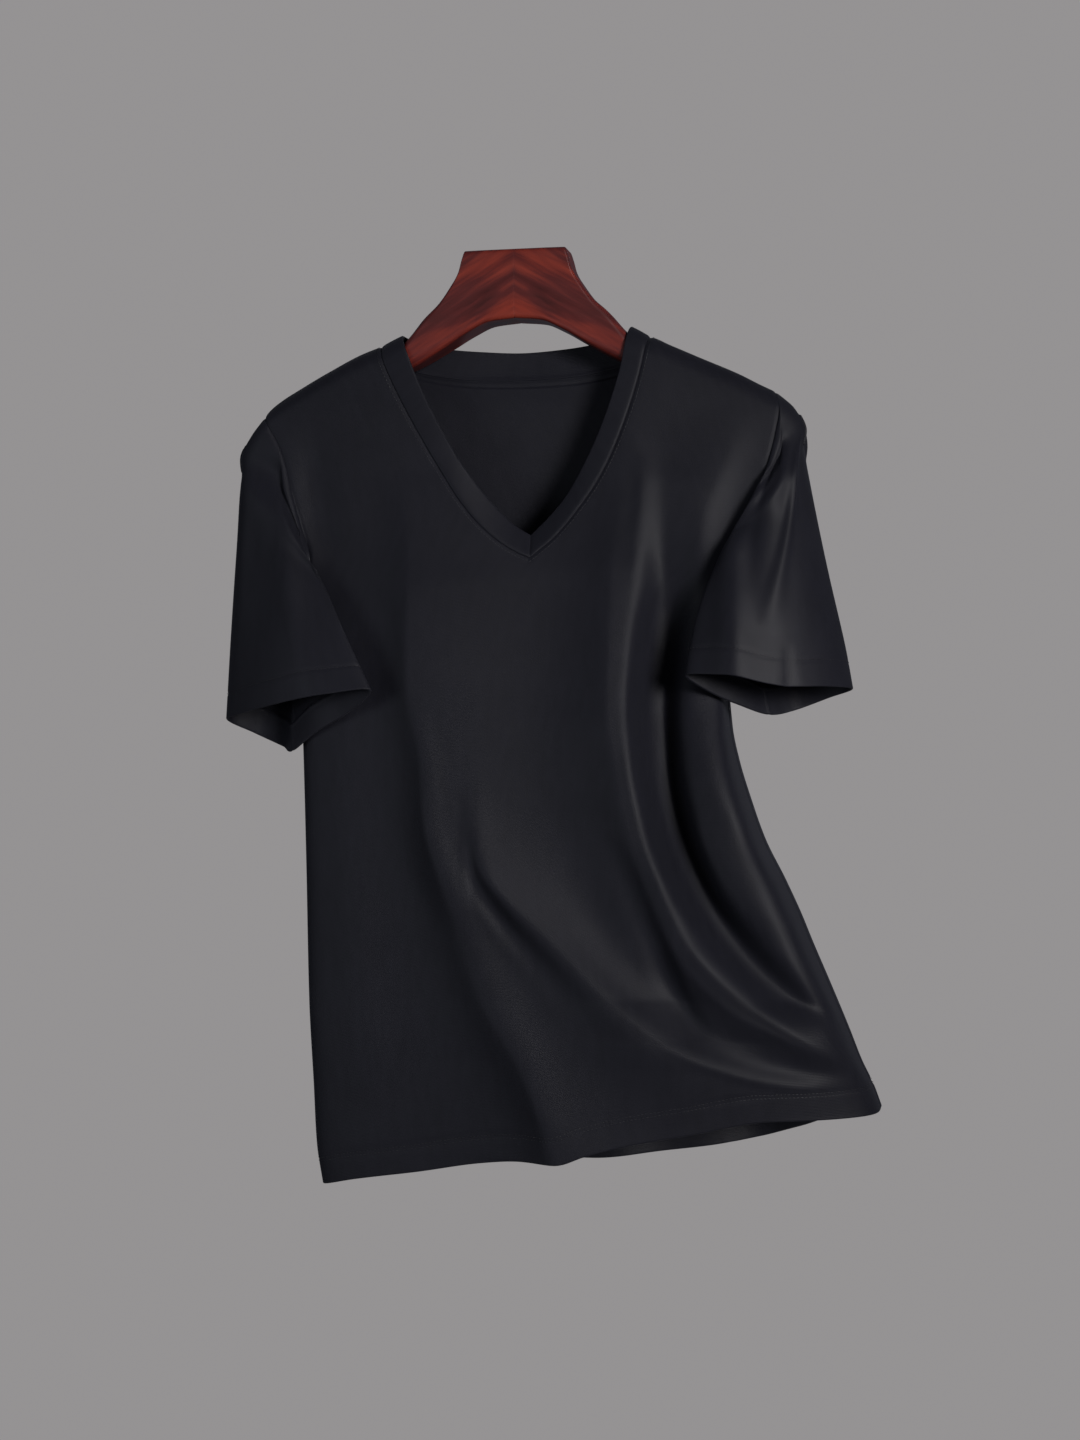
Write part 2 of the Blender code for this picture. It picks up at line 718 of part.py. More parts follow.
def front_grid(cols_l, cols_r, rows):
    """The front panel's points and faces, cut open above the V, and which points are its rim."""
    left, right = edge_spread(cols_l, False), 1 - edge_spread(cols_r, False)[::-1]
    us, vs, index = [], [], {}
    for r, v in enumerate(rows):
        open_row = v > V_SHARE[1] + 1e-9
        split_l = float(neck_share(v, -1)) if open_row else V_SHARE[0]
        split_r = float(neck_share(v, 1)) if open_row else V_SHARE[0]
        for c, k in enumerate(left):
            index[r, c, 0] = len(us)
            us.append(k * split_l)
            vs.append(v)
        for c, k in enumerate(right):
            if c == 0 and not open_row:
                index[r, 0, 1] = index[r, cols_l, 0]
                continue
            index[r, c, 1] = len(us)
            us.append(split_r + k * (1 - split_r))
            vs.append(v)
    faces = []
    for r in range(len(rows) - 1):
        for side, cols in ((0, cols_l), (1, cols_r)):
            for c in range(cols):
                a, b = index[r, c, side], index[r, c + 1, side]
                faces.append((a, b, index[r + 1, c + 1, side], index[r + 1, c, side]))
    us, vs = np.array(us), np.array(vs)
    return us, slant(us, vs), faces


def panel(name, u, v, faces, face, mat):
    points = pull_back(body(u, v, face), u, v, face)
    faces = split_quads(points, faces)
    normals = mesh_normals(points, faces)
    count = {}
    for f in faces:
        for a, b in zip(f, f[1:] + f[:1]):
            count[frozenset((a, b))] = count.get(frozenset((a, b)), 0) + 1
    rim = np.zeros(len(points), bool)
    rim[[i for edge, n in count.items() if n == 1 for i in edge]] = True
    rim &= (v > 1e-6) | at_side(u)
    normals[rim] = seam_normals(u[rim], v[rim], face)
    return make_object(name, *thicken(points, normals, faces, WALL), mat)


def front_panel(mat):
    u, v, faces = front_grid(COLS_LEFT, COLS_RIGHT, rows_up(ROWS_FRONT))
    return panel("front_panel", u, v, faces, -1, mat)


def grid_faces(rows, cols, closed, flip):
    faces = []
    for r in range(rows - 1):
        for c in range(cols if closed else cols - 1):
            d = (c + 1) % cols
            f = (r * cols + c, r * cols + d, (r + 1) * cols + d, (r + 1) * cols + c)
            faces.append(f[::-1] if flip else f)
    return faces


def back_columns():
    """Shares across the back: close at the sides and where the neck curve starts."""
    left, right = EDGE_LEFT[-1][1], EDGE_RIGHT[-1][1]
    n0, n1 = ((NECK_BACK[i][0] - left) / (right - left) for i in (0, -1))
    turn = 0.045
    return np.concatenate([
        n0 * edge_spread(7, False),
        np.linspace(n0, n0 + turn, 4)[1:],
        np.linspace(n0 + turn, n1 - turn, 12)[1:],
        np.linspace(n1 - turn, n1, 4)[1:],
        1 - (1 - n1) * edge_spread(7, False)[::-1][1:],
    ])


def back_panel(mat):
    rows, columns = rows_up(ROWS_BACK), back_columns()
    v, u = np.meshgrid(rows, columns, indexing="ij")
    faces = grid_faces(len(rows), len(columns), False, True)
    return panel("back_panel", u.ravel(), v.ravel(), faces, 1, mat)


# ---------------------------------------------------------------- sleeves

def armhole(side, rows):
    """The armhole seam as a loop of the panels' own edge points.

    Gives the points, the cloth's outward direction, the direction away from the panel and each
    point's share of the sleeve's ring.
    """
    u = 0.0 if side < 0 else 1.0
    v = rows[rows > UNDERARM - 1e-6]
    loop = [(w, -1) for w in v[::-1]] + [(w, 1) for w in v[1:-1]]
    edge = EDGE_LEFT if side < 0 else EDGE_RIGHT
    tip = (TIP_HEIGHT[side] - edge[0][0]) / (edge[-1][0] - edge[0][0])
    one = np.array([u])
    pts = np.array([body(one, np.array([w]), f)[0] for w, f in loop])
    nrm = np.array([seam_normals(one, np.array([w]), f)[0] for w, f in loop])
    away = []
    for (w, f), n in zip(loop, nrm):
        low, high = np.array([max(w - 0.004, UNDERARM)]), np.array([min(w + 0.004, 1.0)])
        e = unit(np.cross(n, body(one, high, f)[0] - body(one, low, f)[0]))
        inward = body(np.abs(one - 0.02), np.array([w]), f)[0] - body(one, np.array([w]), f)[0]
        away.append(-e * np.sign(e @ inward + 1e-9))
    run = np.linalg.norm(np.roll(pts, -1, axis=0) - pts, axis=1)
    run = np.concatenate([[0.0], np.cumsum(run)])
    front = len(v) - 1
    for off, share in ((0, 1.0), (1, 0.7), (2, 0.4)):
        for i in {front - off, front + off}:
            away[i] = unit(away[i] * (1 - share) + np.array([0.0, 0.0, share]))
    i_tip = int(np.argmin(np.abs(v[::-1] - tip)))
    keys = [0.0, run[i_tip], run[front], run[-1]]
    return pts, nrm, np.array(away), np.interp(run[:-1], keys, [0.0, TIP, UNDER, 1.0])


def loop_through(table, shares):
    """A smooth closed loop through a cuff table's points."""
    k = np.array(column(table, 0))
    p = np.array([row[1:] for row in table])
    k = np.concatenate([k - 1, k, k + 1])
    p = np.concatenate([p, p, p])
    i = np.searchsorted(k, shares, side="right") - 1
    t = ((shares - k[i]) / (k[i + 1] - k[i]))[:, None]
    h = (k[i + 1] - k[i])[:, None]
    m0 = (p[i + 1] - p[i - 1]) / (k[i + 1] - k[i - 1])[:, None] * h
    m1 = (p[i + 2] - p[i]) / (k[i + 2] - k[i])[:, None] * h
    return (
        (2 * t ** 3 - 3 * t ** 2 + 1) * p[i]
        + (t ** 3 - 2 * t ** 2 + t) * m0
        + (-2 * t ** 3 + 3 * t ** 2) * p[i + 1]
        + (t ** 3 - t ** 2) * m1
    )


def bump(shares, centre, wide):
    off = np.abs((shares - centre + 0.5) % 1.0 - 0.5)
    return smooth(1 - off / wide)


def sleeve_points(side, rows, down):
    """The sleeve's outer face: rings from the armhole to the cuff."""
    table = SLEEVE_LEFT if side < 0 else SLEEVE_RIGHT
    hole, hole_n, away, shares = armhole(side, rows)
    cuff = loop_through(CUFF_LEFT if side < 0 else CUFF_RIGHT, shares)
    outer, tip = bump(shares, 0.0, 0.16), bump(shares, TIP, 0.14)
    front = np.sin(math.pi * np.clip(shares / TIP, 0, 1)) ** 2
    behind = np.sin(math.pi * np.clip((shares - UNDER) / (1 - UNDER), 0, 1)) ** 2
    over = smooth((shares - TIP + 0.12) / 0.12) * smooth((UNDER + 0.2 - shares) / 0.14)
    cap = smooth((shares - 0.12) / 0.1) * smooth((TIP + 0.04 - shares) / 0.08)
    start = hole + away * SEAM_GAP * 1.2
    rings = []
    for s in down:
        ring = start * (1 - s) + cuff * s
        up, past = (np.interp(s, column(CURL, 0), column(CURL, c)) for c in (1, 2))
        ring += (hole_n * up + away * past) * over[:, None]
        ring += away * (np.interp(s, [0.0, 0.035, 0.1, 0.3], [0.0, 0.5, 0.4, 0.0]) * cap)[:, None]
        ring[:, 0] += side * along(table, 1, s) * outer
        ring[:, 0] -= side * along(table, 4, s) * tip
        ring[:, 1] -= along(table, 2, s) * front
        ring[:, 1] += along(table, 3, s) * behind
        at = CREASE_AT * (1 - 0.8 * shares / TIP)
        crease = CREASE_DEEP * np.exp(-((s - at) / CREASE_WIDE) ** 2)
        swell = SWELL_OUT * np.exp(-((s - at - SWELL_AT + CREASE_AT) / SWELL_WIDE) ** 2)
        near = np.sin(math.pi * np.clip((shares + 0.04) / (TIP + 0.05), 0, 1))
        ring[:, 1] += (crease - swell) * near * smooth(s / 0.05) * (shares < TIP + 0.01)
        rings.append(ring)
    return np.array(rings), hole_n


def sleeve(name, side, mat):
    k = np.linspace(0, 1, RINGS - 1)[1:]
    down = np.concatenate([[0.0, 0.008, 0.035], 0.035 + 0.965 * (0.6 * k + 0.4 * k ** 2)])
    grid, hole_n = sleeve_points(side, rows_up(ROWS_FRONT), down)
    count, ring = grid.shape[:2]
    points = grid.reshape(-1, 3)
    faces = split_quads(points, grid_faces(count, ring, True, side < 0))
    normals = mesh_normals(points, faces)
    normals[:ring] = hole_n
    return make_object(name, *thicken(points, normals, faces, WALL), mat)


# ---------------------------------------------------------------- neckband

def run_share(points):
    run = np.concatenate([[0.0], np.cumsum(np.linalg.norm(np.diff(points, axis=0), axis=1))])
    return run / run[-1]


def front_seam(side, rows):
    """The front panel's own neck edge, V to collar, and the cloth's direction there."""
    v = rows[rows > V_SHARE[1] - 1e-9]
    u = np.where(v > V_SHARE[1] + 1e-9, neck_share(v, side), V_SHARE[0])
    return body(u, v, -1), seam_normals(u, v, -1)


def back_seam(columns):
    """The back panel's own neck edge, left collar point to right."""
    left, right = EDGE_LEFT[-1][1], EDGE_RIGHT[-1][1]
    n0, n1 = ((NECK_BACK[i][0] - left) / (right - left) for i in (0, -1))
    u = columns[(columns > n0 - 1e-6) & (columns < n1 + 1e-6)]
    v = np.ones(len(u))
    return body(u, v, 1), seam_normals(u, v, 1)


def band_edge(table, shares):
    """The band's free edge on the front, rolled over the hanger as the seam is."""
    t = np.linspace(0, 1, len(table))
    fine = np.linspace(0, 1, 300)
    x, z = curve(t, column(table, 0), fine), curve(t, column(table, 1), fine)
    top = table[-1][1]
    lean = 0.35 * smooth((top - z) / 12.0)
    return by_length(np.stack([x, -(roll(top - z) + lean), z], -1), shares)


def neckband_rails(rows, columns):
    """Seam edge, free edge and outward direction, once round from the V."""
    sides = []
    for side, table in ((-1, BAND_LEFT), (1, BAND_RIGHT)):
        seam, n = front_seam(side, rows)
        sides.append((seam, band_edge(table, run_share(seam)), n))
    seam_b, n_b = back_seam(columns)
    t = np.linspace(0, 1, len(BAND_BACK))
    fine = np.linspace(0, 1, 300)
    free_b = np.stack([curve(t, column(BAND_BACK, c), fine) for c in range(3)], -1)
    free_b = by_length(free_b, run_share(seam_b))
    (s_l, f_l, n_l), (s_r, f_r, n_r) = sides
    seam = np.concatenate([s_l[:-1], seam_b[:-1], s_r[:0:-1]])
    free = np.concatenate([f_l[:-1], free_b[:-1], f_r[:0:-1]])
    normal = np.concatenate([n_l[:-1], n_b[:-1], n_r[:0:-1]])
    return seam, free, normal


def neckband(mat):
    seam, free, normal = neckband_rails(rows_up(ROWS_FRONT), back_columns())
    across = free - seam
    across = unit(across - normal * np.sum(across * normal, axis=1, keepdims=True))
    seam = seam + across * SEAM_GAP * 1.3
    run = np.roll(seam, -1, axis=0) - np.roll(seam, 1, axis=0)
    out = unit(np.cross(run, free - seam))
    out *= np.sign(np.sum(out * normal, axis=1, keepdims=True))
    middle = (seam + free) / 2 + out * 0.06
    points = np.concatenate([seam, middle, free])
    normals = np.concatenate([normal, out, out])
    faces = split_quads(points, grid_faces(3, len(seam), True, True))
    return make_object("neckband", *thicken(points, normals, faces, BAND_WALL), mat)


# ---------------------------------------------------------------- hanger

def hanger_section(x, corner_steps):
    """The hanger's outline in y and z at a place along it, corners rounded."""
    a = abs(x)
    if a <= HANGER_UNDER_CLOTH:
        top = float(along(HANGER_TOP, 1, a))
    else:
        follow = float(along(SHOULDER, 1, x)) - HANGER_CLEAR
        meet = float(along(SHOULDER, 1, math.copysign(HANGER_UNDER_CLOTH + 1.4, x))) - HANGER_CLEAR
        k = smooth((a - HANGER_UNDER_CLOTH) / 1.4)
        joined = HANGER_TOP[-1][1] + (meet - HANGER_TOP[-1][1]) * k
        top = min(joined, follow) if a < HANGER_UNDER_CLOTH + 1.4 else follow
        top -= 1.1 * smooth((a - 18.3) / 1.0) ** 2
    low, half, edge = (float(along(HANGER_BODY, c, a)) for c in (1, 2, 3))
    edge = min(edge, half * 0.98, (top - low) * 0.48)
    ring = []
    for cy, cz, start in (
        (half - edge, top - edge, 0.0),
        (-(half - edge), top - edge, 0.5),
        (-(half - edge), low + edge, 1.0),
        (half - edge, low + edge, 1.5),
    ):
        for i in range(corner_steps + 1):
            t = (start + 0.5 * i / corner_steps) * math.pi
            ring.append((x, cy + edge * math.cos(t), cz + edge * math.sin(t)))
    return ring


def hanger(mat):
    half = [0.0, 1.2, 2.4, 3.6, 3.95, 4.2, 4.5, 5.0, 5.7, 6.6, 7.5, 8.4, 9.2, 10.0]
    half += [11.0, 12.4, 14.0, 15.8, 17.4, 18.3, 18.9, HANGER_END]
    places = [-a for a in half[:0:-1]] + half
    rings = [hanger_section(x, 3) for x in places]
    n = len(rings[0])
    points = np.array([p for ring in rings for p in ring])
    faces = grid_faces(len(rings), n, True, False)
    faces.append(tuple(reversed(range(n))))
    faces.append(tuple(range(len(points) - n, len(points))))
    return make_object("hanger", points, faces, mat)


# ---------------------------------------------------------------- build

def build():
    for obj in list(bpy.data.objects):
        bpy.data.objects.remove(obj, do_unlink=True)
    cloth = make_material("cloth_black", (0.013, 0.013, 0.017), 0.85)
    wood = make_material("wood_mahogany", (0.10, 0.018, 0.014), 0.3)
    front_panel(cloth)
    back_panel(cloth)
    sleeve("sleeve_left", -1, cloth)
    sleeve("sleeve_right", 1, cloth)
    neckband(cloth)
    hanger(wood)


build()
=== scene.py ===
"""V-neck t-shirt on a wooden hanger: cloth shells with their creases, hems, seams and stitches,
the lacquered wood, and the studio round them.

The tables are in centimetres, the meshes in metres. +Z is up, X runs along the hanger and the
shirt's front faces -Y. The origin is the middle of the hanger's flat top.
"""

import math

import bpy
import numpy as np
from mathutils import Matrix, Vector
from mathutils.kdtree import KDTree


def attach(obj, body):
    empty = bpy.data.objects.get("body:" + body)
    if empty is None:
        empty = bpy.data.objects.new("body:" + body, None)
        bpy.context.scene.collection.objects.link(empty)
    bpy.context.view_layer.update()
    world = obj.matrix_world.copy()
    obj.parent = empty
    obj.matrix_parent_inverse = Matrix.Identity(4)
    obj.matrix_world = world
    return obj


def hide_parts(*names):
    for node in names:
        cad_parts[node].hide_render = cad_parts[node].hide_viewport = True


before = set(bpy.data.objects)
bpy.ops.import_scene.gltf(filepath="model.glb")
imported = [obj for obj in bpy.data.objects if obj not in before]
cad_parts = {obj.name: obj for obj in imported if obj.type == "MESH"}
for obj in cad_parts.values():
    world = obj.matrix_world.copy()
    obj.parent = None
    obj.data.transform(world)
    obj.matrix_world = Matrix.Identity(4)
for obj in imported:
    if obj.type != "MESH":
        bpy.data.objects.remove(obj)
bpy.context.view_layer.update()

CM = 0.01
CLOTH = 0.10  # one layer of jersey, cm
TURNED = 0.09  # the second layer where a hem is turned up, cm
HEM_UP = 2.0  # how far up a hem is turned, cm
HEM_TAIL, HEM_EASE = 0.25, 0.14  # cloth over the stitching, and the run in which it ends, cm
WALL_LEAST = 0.03  # square of the least share of a wall left at its edge
BAND = 0.17  # neckband, two layers, cm
FACE = 0.065  # from the drawn outer face in to the middle of the cloth, cm
ROLL = 1.7  # how far the cloth stands off the hanger's middle plane at the shoulders, cm
FOLD_SOFT = 1.12  # every fold's width, times this
SIDE_SQUARE = 3.8, 7.5  # how squarely the body turns at its left and right side (2 is an ellipse)
CREST_ROUND = 0.14  # how far a fold's crest is rounded over, cm
SQUARE_UP = 0.22  # share of the height in which the right side turns square, from the hem up
FOLDS_END = 0.12  # share of the height in which the folds run out, under the shoulders
SLOPE_STEP = 0.2  # step for reading a fold's slope, cm
NUDGE = 1.5e-3  # step for reading the surface's direction, in shares
TINY, ZERO = 1e-6, 1e-12  # shares this close are equal, and lengths below this are nothing

# Rows and columns of the meshes, cm unless a share.
EDGE_STEPS = [0.0, 0.02, 0.055, 0.11, 0.19, 0.3, 0.45]  # rows beside an edge, from it
V_STEPS, V_NEXT = [0.0, 0.03, 0.08, 0.16, 0.27], 0.16  # rows over the V's point
FRONT_GAPS = 0.36, 0.33, 0.31, 0.22  # skirt, belly, chest, over the hanger
BACK_GAPS = 0.42, 0.22  # panel, over the hanger
FRONT_COLUMNS, BACK_COLUMNS = (88, 106), 128  # the front's left and right of the V
V_BLEND = 0.07  # share of the height over which the columns part round the V
ROW_DIP, DIP_FROM, DIP_RUN = 0.17, 0.3, 0.6  # the front's rows dip to the right, in shares
BODY_WIDE, TALL = 36.0, 60.0  # the body's size that steps are worked out from
RUN_FINE, LINE_FINE = 4000, 900  # points on a finely read run, and on a finely drawn line
SIDE_CROWD = 5  # how closely places crowd where the body turns sharply
HALVINGS, V_ROUNDS = 34, 60  # rounds in which a seam's share and the V's place are found
SIDE_EASE, TOP_EASE = 0.05, 0.6  # where seams square up: share of the height, and cm
NECK_EASE, NECK_GAP, NECK_EVEN = 0.9, 0.1, 0.45  # the back's rows under its neck
ARM_NUDGE, ARM_IN = 0.004, 0.02  # steps along and in from the armhole, in shares

# Left and right edges of the body, hem to shoulder point: height, sideways, seam depth,
# then how far the front and back edges part at the armhole.
EDGE_LEFT = [  # z, x, seam_y, part
    (-72.1, -15.3, 0, 0), (-69.1, -15.8, 0, 0), (-64.4, -16.1, 0.1, 0), (-58.1, -16.5, 0.2, 0),
    (-47.1, -16.8, 0.3, 0), (-38.6, -17.1, 0.4, 0), (-34, -17.3, 0.4, 0), (-30.77, -17.3, 0.4, 0),
    (-28, -16.8, 0.2, 1.3), (-25.5, -16.3, 0, 1.9), (-23.5, -16.1, 0, 2.2), (-20.7, -16.8, 0, 2.2),
    (-18.8, -17.4, 0, 2.1), (-16.4, -18.1, 0, 1.9), (-14.8, -18.7, 0, 1.8),
    (-13.2, -19.6, 0, 1.75), (-12.2, -20.3, 0, 1.7),
]
EDGE_RIGHT = [  # z, x, seam_y, part
    (-65.1, 27.7, 1, 0), (-63.5, 27.1, 1, 0), (-61.7, 26.2, 1, 0), (-59.5, 25.3, 1, 0),
    (-56, 23.8, 1, 0), (-53, 22.5, 1, 0), (-50.8, 21.6, 1, 0), (-48.2, 20.4, 1, 0),
    (-45.2, 18.9, 0.9, 0), (-42.1, 17.8, 0.8, 0), (-39.1, 16.9, 0.7, 0), (-36.6, 16.4, 0.6, 0),
    (-32, 16.1, 0.5, 0), (-28.05, 16.5, 0.4, 0), (-26.2, 17, 0.2, 1.3), (-24.5, 17.6, 0, 1.9),
    (-21.9, 18.4, 0, 2.2), (-17.9, 19.2, 0, 2.2), (-16.6, 19.5, 0, 2), (-14.6, 20, 0, 1.85),
    (-12.9, 20.3, 0, 1.75), (-11.4, 19.9, 0, 1.7),
]
UNDERARM = 0.69  # share of the body's height

# Shoulder line, point to point, level between the two collar points.
SHOULDER = [  # x, z
    (-20.3, -12.2), (-19.8, -11.6), (-18.8, -10.85), (-17.5, -10.1), (-15.1, -8.8), (-11.9, -7.3),
    (-10.7, -6.95), (-8, -6.75), (8, -6.75), (10.4, -6.95), (11.9, -7.6), (14.1, -8.6),
    (17.2, -10), (18.7, -10.8), (19.9, -11.4),
]
HEM_FRONT = [  # x, z
    (-15.3, -72.1), (-11.9, -71.2), (-6.7, -70.3), (-1.9, -69.4), (1.3, -69), (4.6, -68.8),
    (6.6, -68.1), (9.9, -67.2), (14.5, -66.3), (20, -65.3), (24.5, -65.2), (27.7, -65.1),
]
HEM_BACK = [  # x, z
    (-15.3, -72.1), (-11, -71.4), (-5, -71), (0, -70.7), (5.2, -70.3), (9.3, -69.8), (13.2, -69.3),
    (18.3, -68.4), (21.3, -67.3), (24, -66.2), (27.7, -65.1),
]
# How far the cloth stands in front of, and behind, the shoulder depth, by height up the body.
DEPTH = [  # share of height, front, back
    (0, 2.9, 2.8), (0.2, 2.5, 2.5), (0.45, 2, 2), (0.6, 1.5, 1.6), (0.75, 0.9, 1),
    (0.9, 0.25, 0.4), (1, 0, 0),
]

# Neck seam on the front panel, V to collar points, and on the back panel.
V_POINT = (1.6, -23.8)
NECK_LEFT = [  # z, x
    (-23.8, 1.6), (-23.5, 0.8), (-22.1, -1.4), (-20, -3.5), (-16.7, -5.8), (-13.9, -7.5),
    (-11.2, -9), (-9.6, -9.8), (-8.2, -10.4), (-6.9, -10.8),
]
NECK_RIGHT = [  # z, x
    (-23.8, 1.6), (-22.3, 3.4), (-20.3, 5.1), (-17.8, 6.8), (-15.3, 8), (-11.9, 9.2), (-9.8, 9.8),
    (-8.4, 10.1), (-6.9, 10.35),
]
NECK_BACK = [  # x, drop under the shoulder line
    (-10.8, 0), (-9.6, 1.5), (-7.5, 2.3), (-3.4, 2.85), (0, 2.95), (3.4, 2.85), (7.2, 2.3),
    (9.2, 1.5), (10.35, 0),
]
# The neckband's free edge, V to collar, then across the back.
BAND_LEFT = [  # x, z
    (1.45, -22), (0.3, -21.3), (-1.1, -20), (-2.9, -17.9), (-4.4, -15.8), (-5.9, -13.2),
    (-7, -11.1), (-7.7, -9.5), (-8.3, -8), (-8.7, -7), (-9.1, -6.15),
]
BAND_RIGHT = [  # x, z
    (1.45, -22), (2.7, -20.8), (4.1, -19.2), (5.4, -17), (6.7, -14.2), (7.7, -11.4), (8.3, -9.3),
    (8.6, -7.7), (8.9, -6.1),
]
BAND_BACK = [  # x, y, z
    (-9.1, 0, -6.15), (-8.9, 0.9, -6.25), (-8.5, 1.5, -6.5), (-7.6, 1.75, -6.85),
    (-5.9, 1.85, -7.05), (-3.4, 1.95, -7.3), (0, 2.05, -7.5), (3.6, 1.95, -7.3),
    (5.6, 1.85, -7.05), (7.4, 1.75, -6.8), (8.3, 1.5, -6.45), (8.7, 0.9, -6.2), (8.9, 0, -6.1),
]

# Folds that run down: z, x, how far they stand out (or sink), and their widths left and right.
FOLDS_DOWN = {
    "left_ridge": [
        (-17, -8.6, 0, 1.6, 8.5), (-23.9, -7.8, 0.76, 1.6, 10.2), (-30, -7.7, 1.26, 1.6, 11.9),
        (-34.6, -7.3, 1.5, 1.7, 11.9), (-39.1, -6.2, 1.83, 1.8, 11.9), (-43.7, -5.8, 2, 1.8, 11),
        (-48.2, -4.5, 2.17, 1.8, 10.2), (-52.8, -2.9, 1.85, 2.2, 11),
        (-57.3, -1.1, 2.05, 2.2, 11.5), (-61.7, 1.7, 2.46, 2.4, 12), (-65.4, 3.4, 2.73, 2.5, 12),
        (-69.1, 4.5, 2.87, 2.7, 12),
    ],
    "left_line": [
        (-34.6, -6.9, 0, 0.5, 0.5), (-39.1, -5.8, 0.1, 0.5, 0.7), (-43.7, -5.5, 0.12, 0.5, 0.8),
        (-48.2, -3.9, 0.16, 0.5, 0.8), (-52.7, -2.2, 0.14, 0.5, 1), (-57.2, -0.1, 0.1, 0.6, 1.2),
        (-61.7, 2.3, 0.12, 0.6, 1.2), (-65.4, 3.7, 0.12, 0.7, 1.2), (-68.4, 4.5, 0, 0.7, 1.2),
    ],
    "right_ridge": [
        (-12.2, 8.1, 0, 2.6, 1.2), (-18.2, 8.8, 0.37, 2.4, 1.8), (-24.1, 8.2, 0.75, 2.6, 2.2),
        (-30.1, 8.1, 1.44, 2.8, 2.3), (-34.6, 8.1, 1.95, 3, 2.3), (-39.1, 8.8, 2.21, 3, 2.2),
        (-43.5, 9.6, 2.34, 3, 2.1), (-48, 11.1, 2.47, 2.9, 2.1), (-52.4, 13, 2.47, 2.6, 2.2),
        (-56.7, 16.8, 1.95, 2.2, 2), (-59.5, 22.1, 1.69, 1.8, 1.6), (-61.6, 26.6, 1.04, 1.5, 1.3),
        (-62.9, 28.7, 0, 1.4, 1.2),
    ],
    "right_line": [
        (-16.1, 9.8, 0, 0.4, 0.5), (-18.3, 10.3, 0.14, 0.4, 0.5), (-24.2, 10, 0.1, 0.5, 0.6),
        (-30.1, 9.7, 0.05, 0.6, 0.8), (-34.6, 9.8, 0.1, 0.6, 0.8), (-39, 10.1, 0.14, 0.5, 0.7),
        (-43.5, 10.9, 0.1, 0.5, 0.8), (-47.9, 12.4, 0.16, 0.5, 0.8), (-52.3, 14.6, 0.18, 0.5, 0.8),
        (-56.6, 19, 0.14, 0.5, 0.8), (-60.8, 25.7, 0.1, 0.4, 0.6), (-62.2, 27.9, 0, 0.4, 0.5),
    ],
    "deep_trough": [
        (-18.1, 12.8, 0, 1.5, 1.8), (-21.9, 12.7, -0.32, 1.5, 1.7), (-25.6, 12.4, -1.08, 1.4, 1.6),
        (-30.1, 11.6, -2.16, 1.2, 1.5), (-34.6, 11.2, -2.43, 1.1, 1.3),
        (-39.1, 11.5, -2.52, 1, 1.2), (-43.6, 12.4, -2.37, 0.9, 1.1), (-48, 14.2, -1.71, 0.9, 1),
        (-52.4, 17.2, -0.99, 0.8, 1), (-56.8, 21.5, -0.54, 0.8, 1), (-59.6, 25.2, -0.2, 0.8, 1),
        (-61.4, 27.6, 0, 0.8, 1),
    ],
    "side_ridge": [
        (-34.6, 14.5, 0, 0.9, 1.2), (-43.5, 15, 0.25, 0.8, 1.4), (-47.9, 16.9, 0.35, 0.9, 1.5),
        (-52.3, 20.6, 0.35, 1, 1.6), (-56.7, 23.9, 0.2, 1, 1.4), (-59.5, 25.6, 0, 1, 1.4),
    ],
    "valley_crease": [
        (-44.4, 8.5, 0, 0.9, 0.9), (-48.2, 10, -0.4, 0.9, 0.8), (-52.6, 11.9, -0.6, 0.9, 0.7),
        (-57.1, 13.6, -0.55, 0.8, 0.7), (-59.5, 15.2, 0, 0.8, 0.7),
    ],
    "armhole_ridge": [
        (-12.2, 17.7, 0, 3, 1.3), (-15.9, 16.3, 0.3, 3, 1.2), (-20.3, 14.6, 0.6, 3, 1.2),
        (-24.1, 13.7, 0.5, 2.8, 1.2), (-27.8, 13.2, 0, 2.4, 1.2),
    ],
    "right_edge": [
        (-31.6, 16, 0, 2, 1.5), (-34.6, 16.6, 0.8, 2.4, 1.6), (-37.6, 17.2, 2.2, 2.7, 1.8),
        (-40.6, 17.9, 3.3, 3, 2), (-43.5, 19, 3.8, 3.2, 2.2), (-48, 20.9, 3.6, 3.6, 2.5),
        (-52.4, 23.3, 2.8, 4.2, 2.8), (-56.8, 25.4, 1.8, 4.6, 3.2), (-60.5, 26.7, 0.9, 4.8, 3.6),
        (-62.7, 27.4, 0.4, 4.8, 3.8), (-65, 28, 0.1, 4.4, 3.8),
    ],
    "left_plain": [
        (-29.9, -13.1, 0, 1.2, 1.8), (-39.2, -12.9, 0.2, 1.2, 1.8), (-57.7, -11.8, 0.25, 1.2, 1.8),
        (-69.2, -11, 0.1, 1.2, 1.8),
    ],
    "left_chest": [
        (-12, -16.6, 0, 1.1, 1.4), (-15, -16.3, -0.35, 1.1, 1.4), (-20, -15.6, -0.45, 1.1, 1.4),
        (-25, -14.2, 0, 1.1, 1.4),
    ],
}
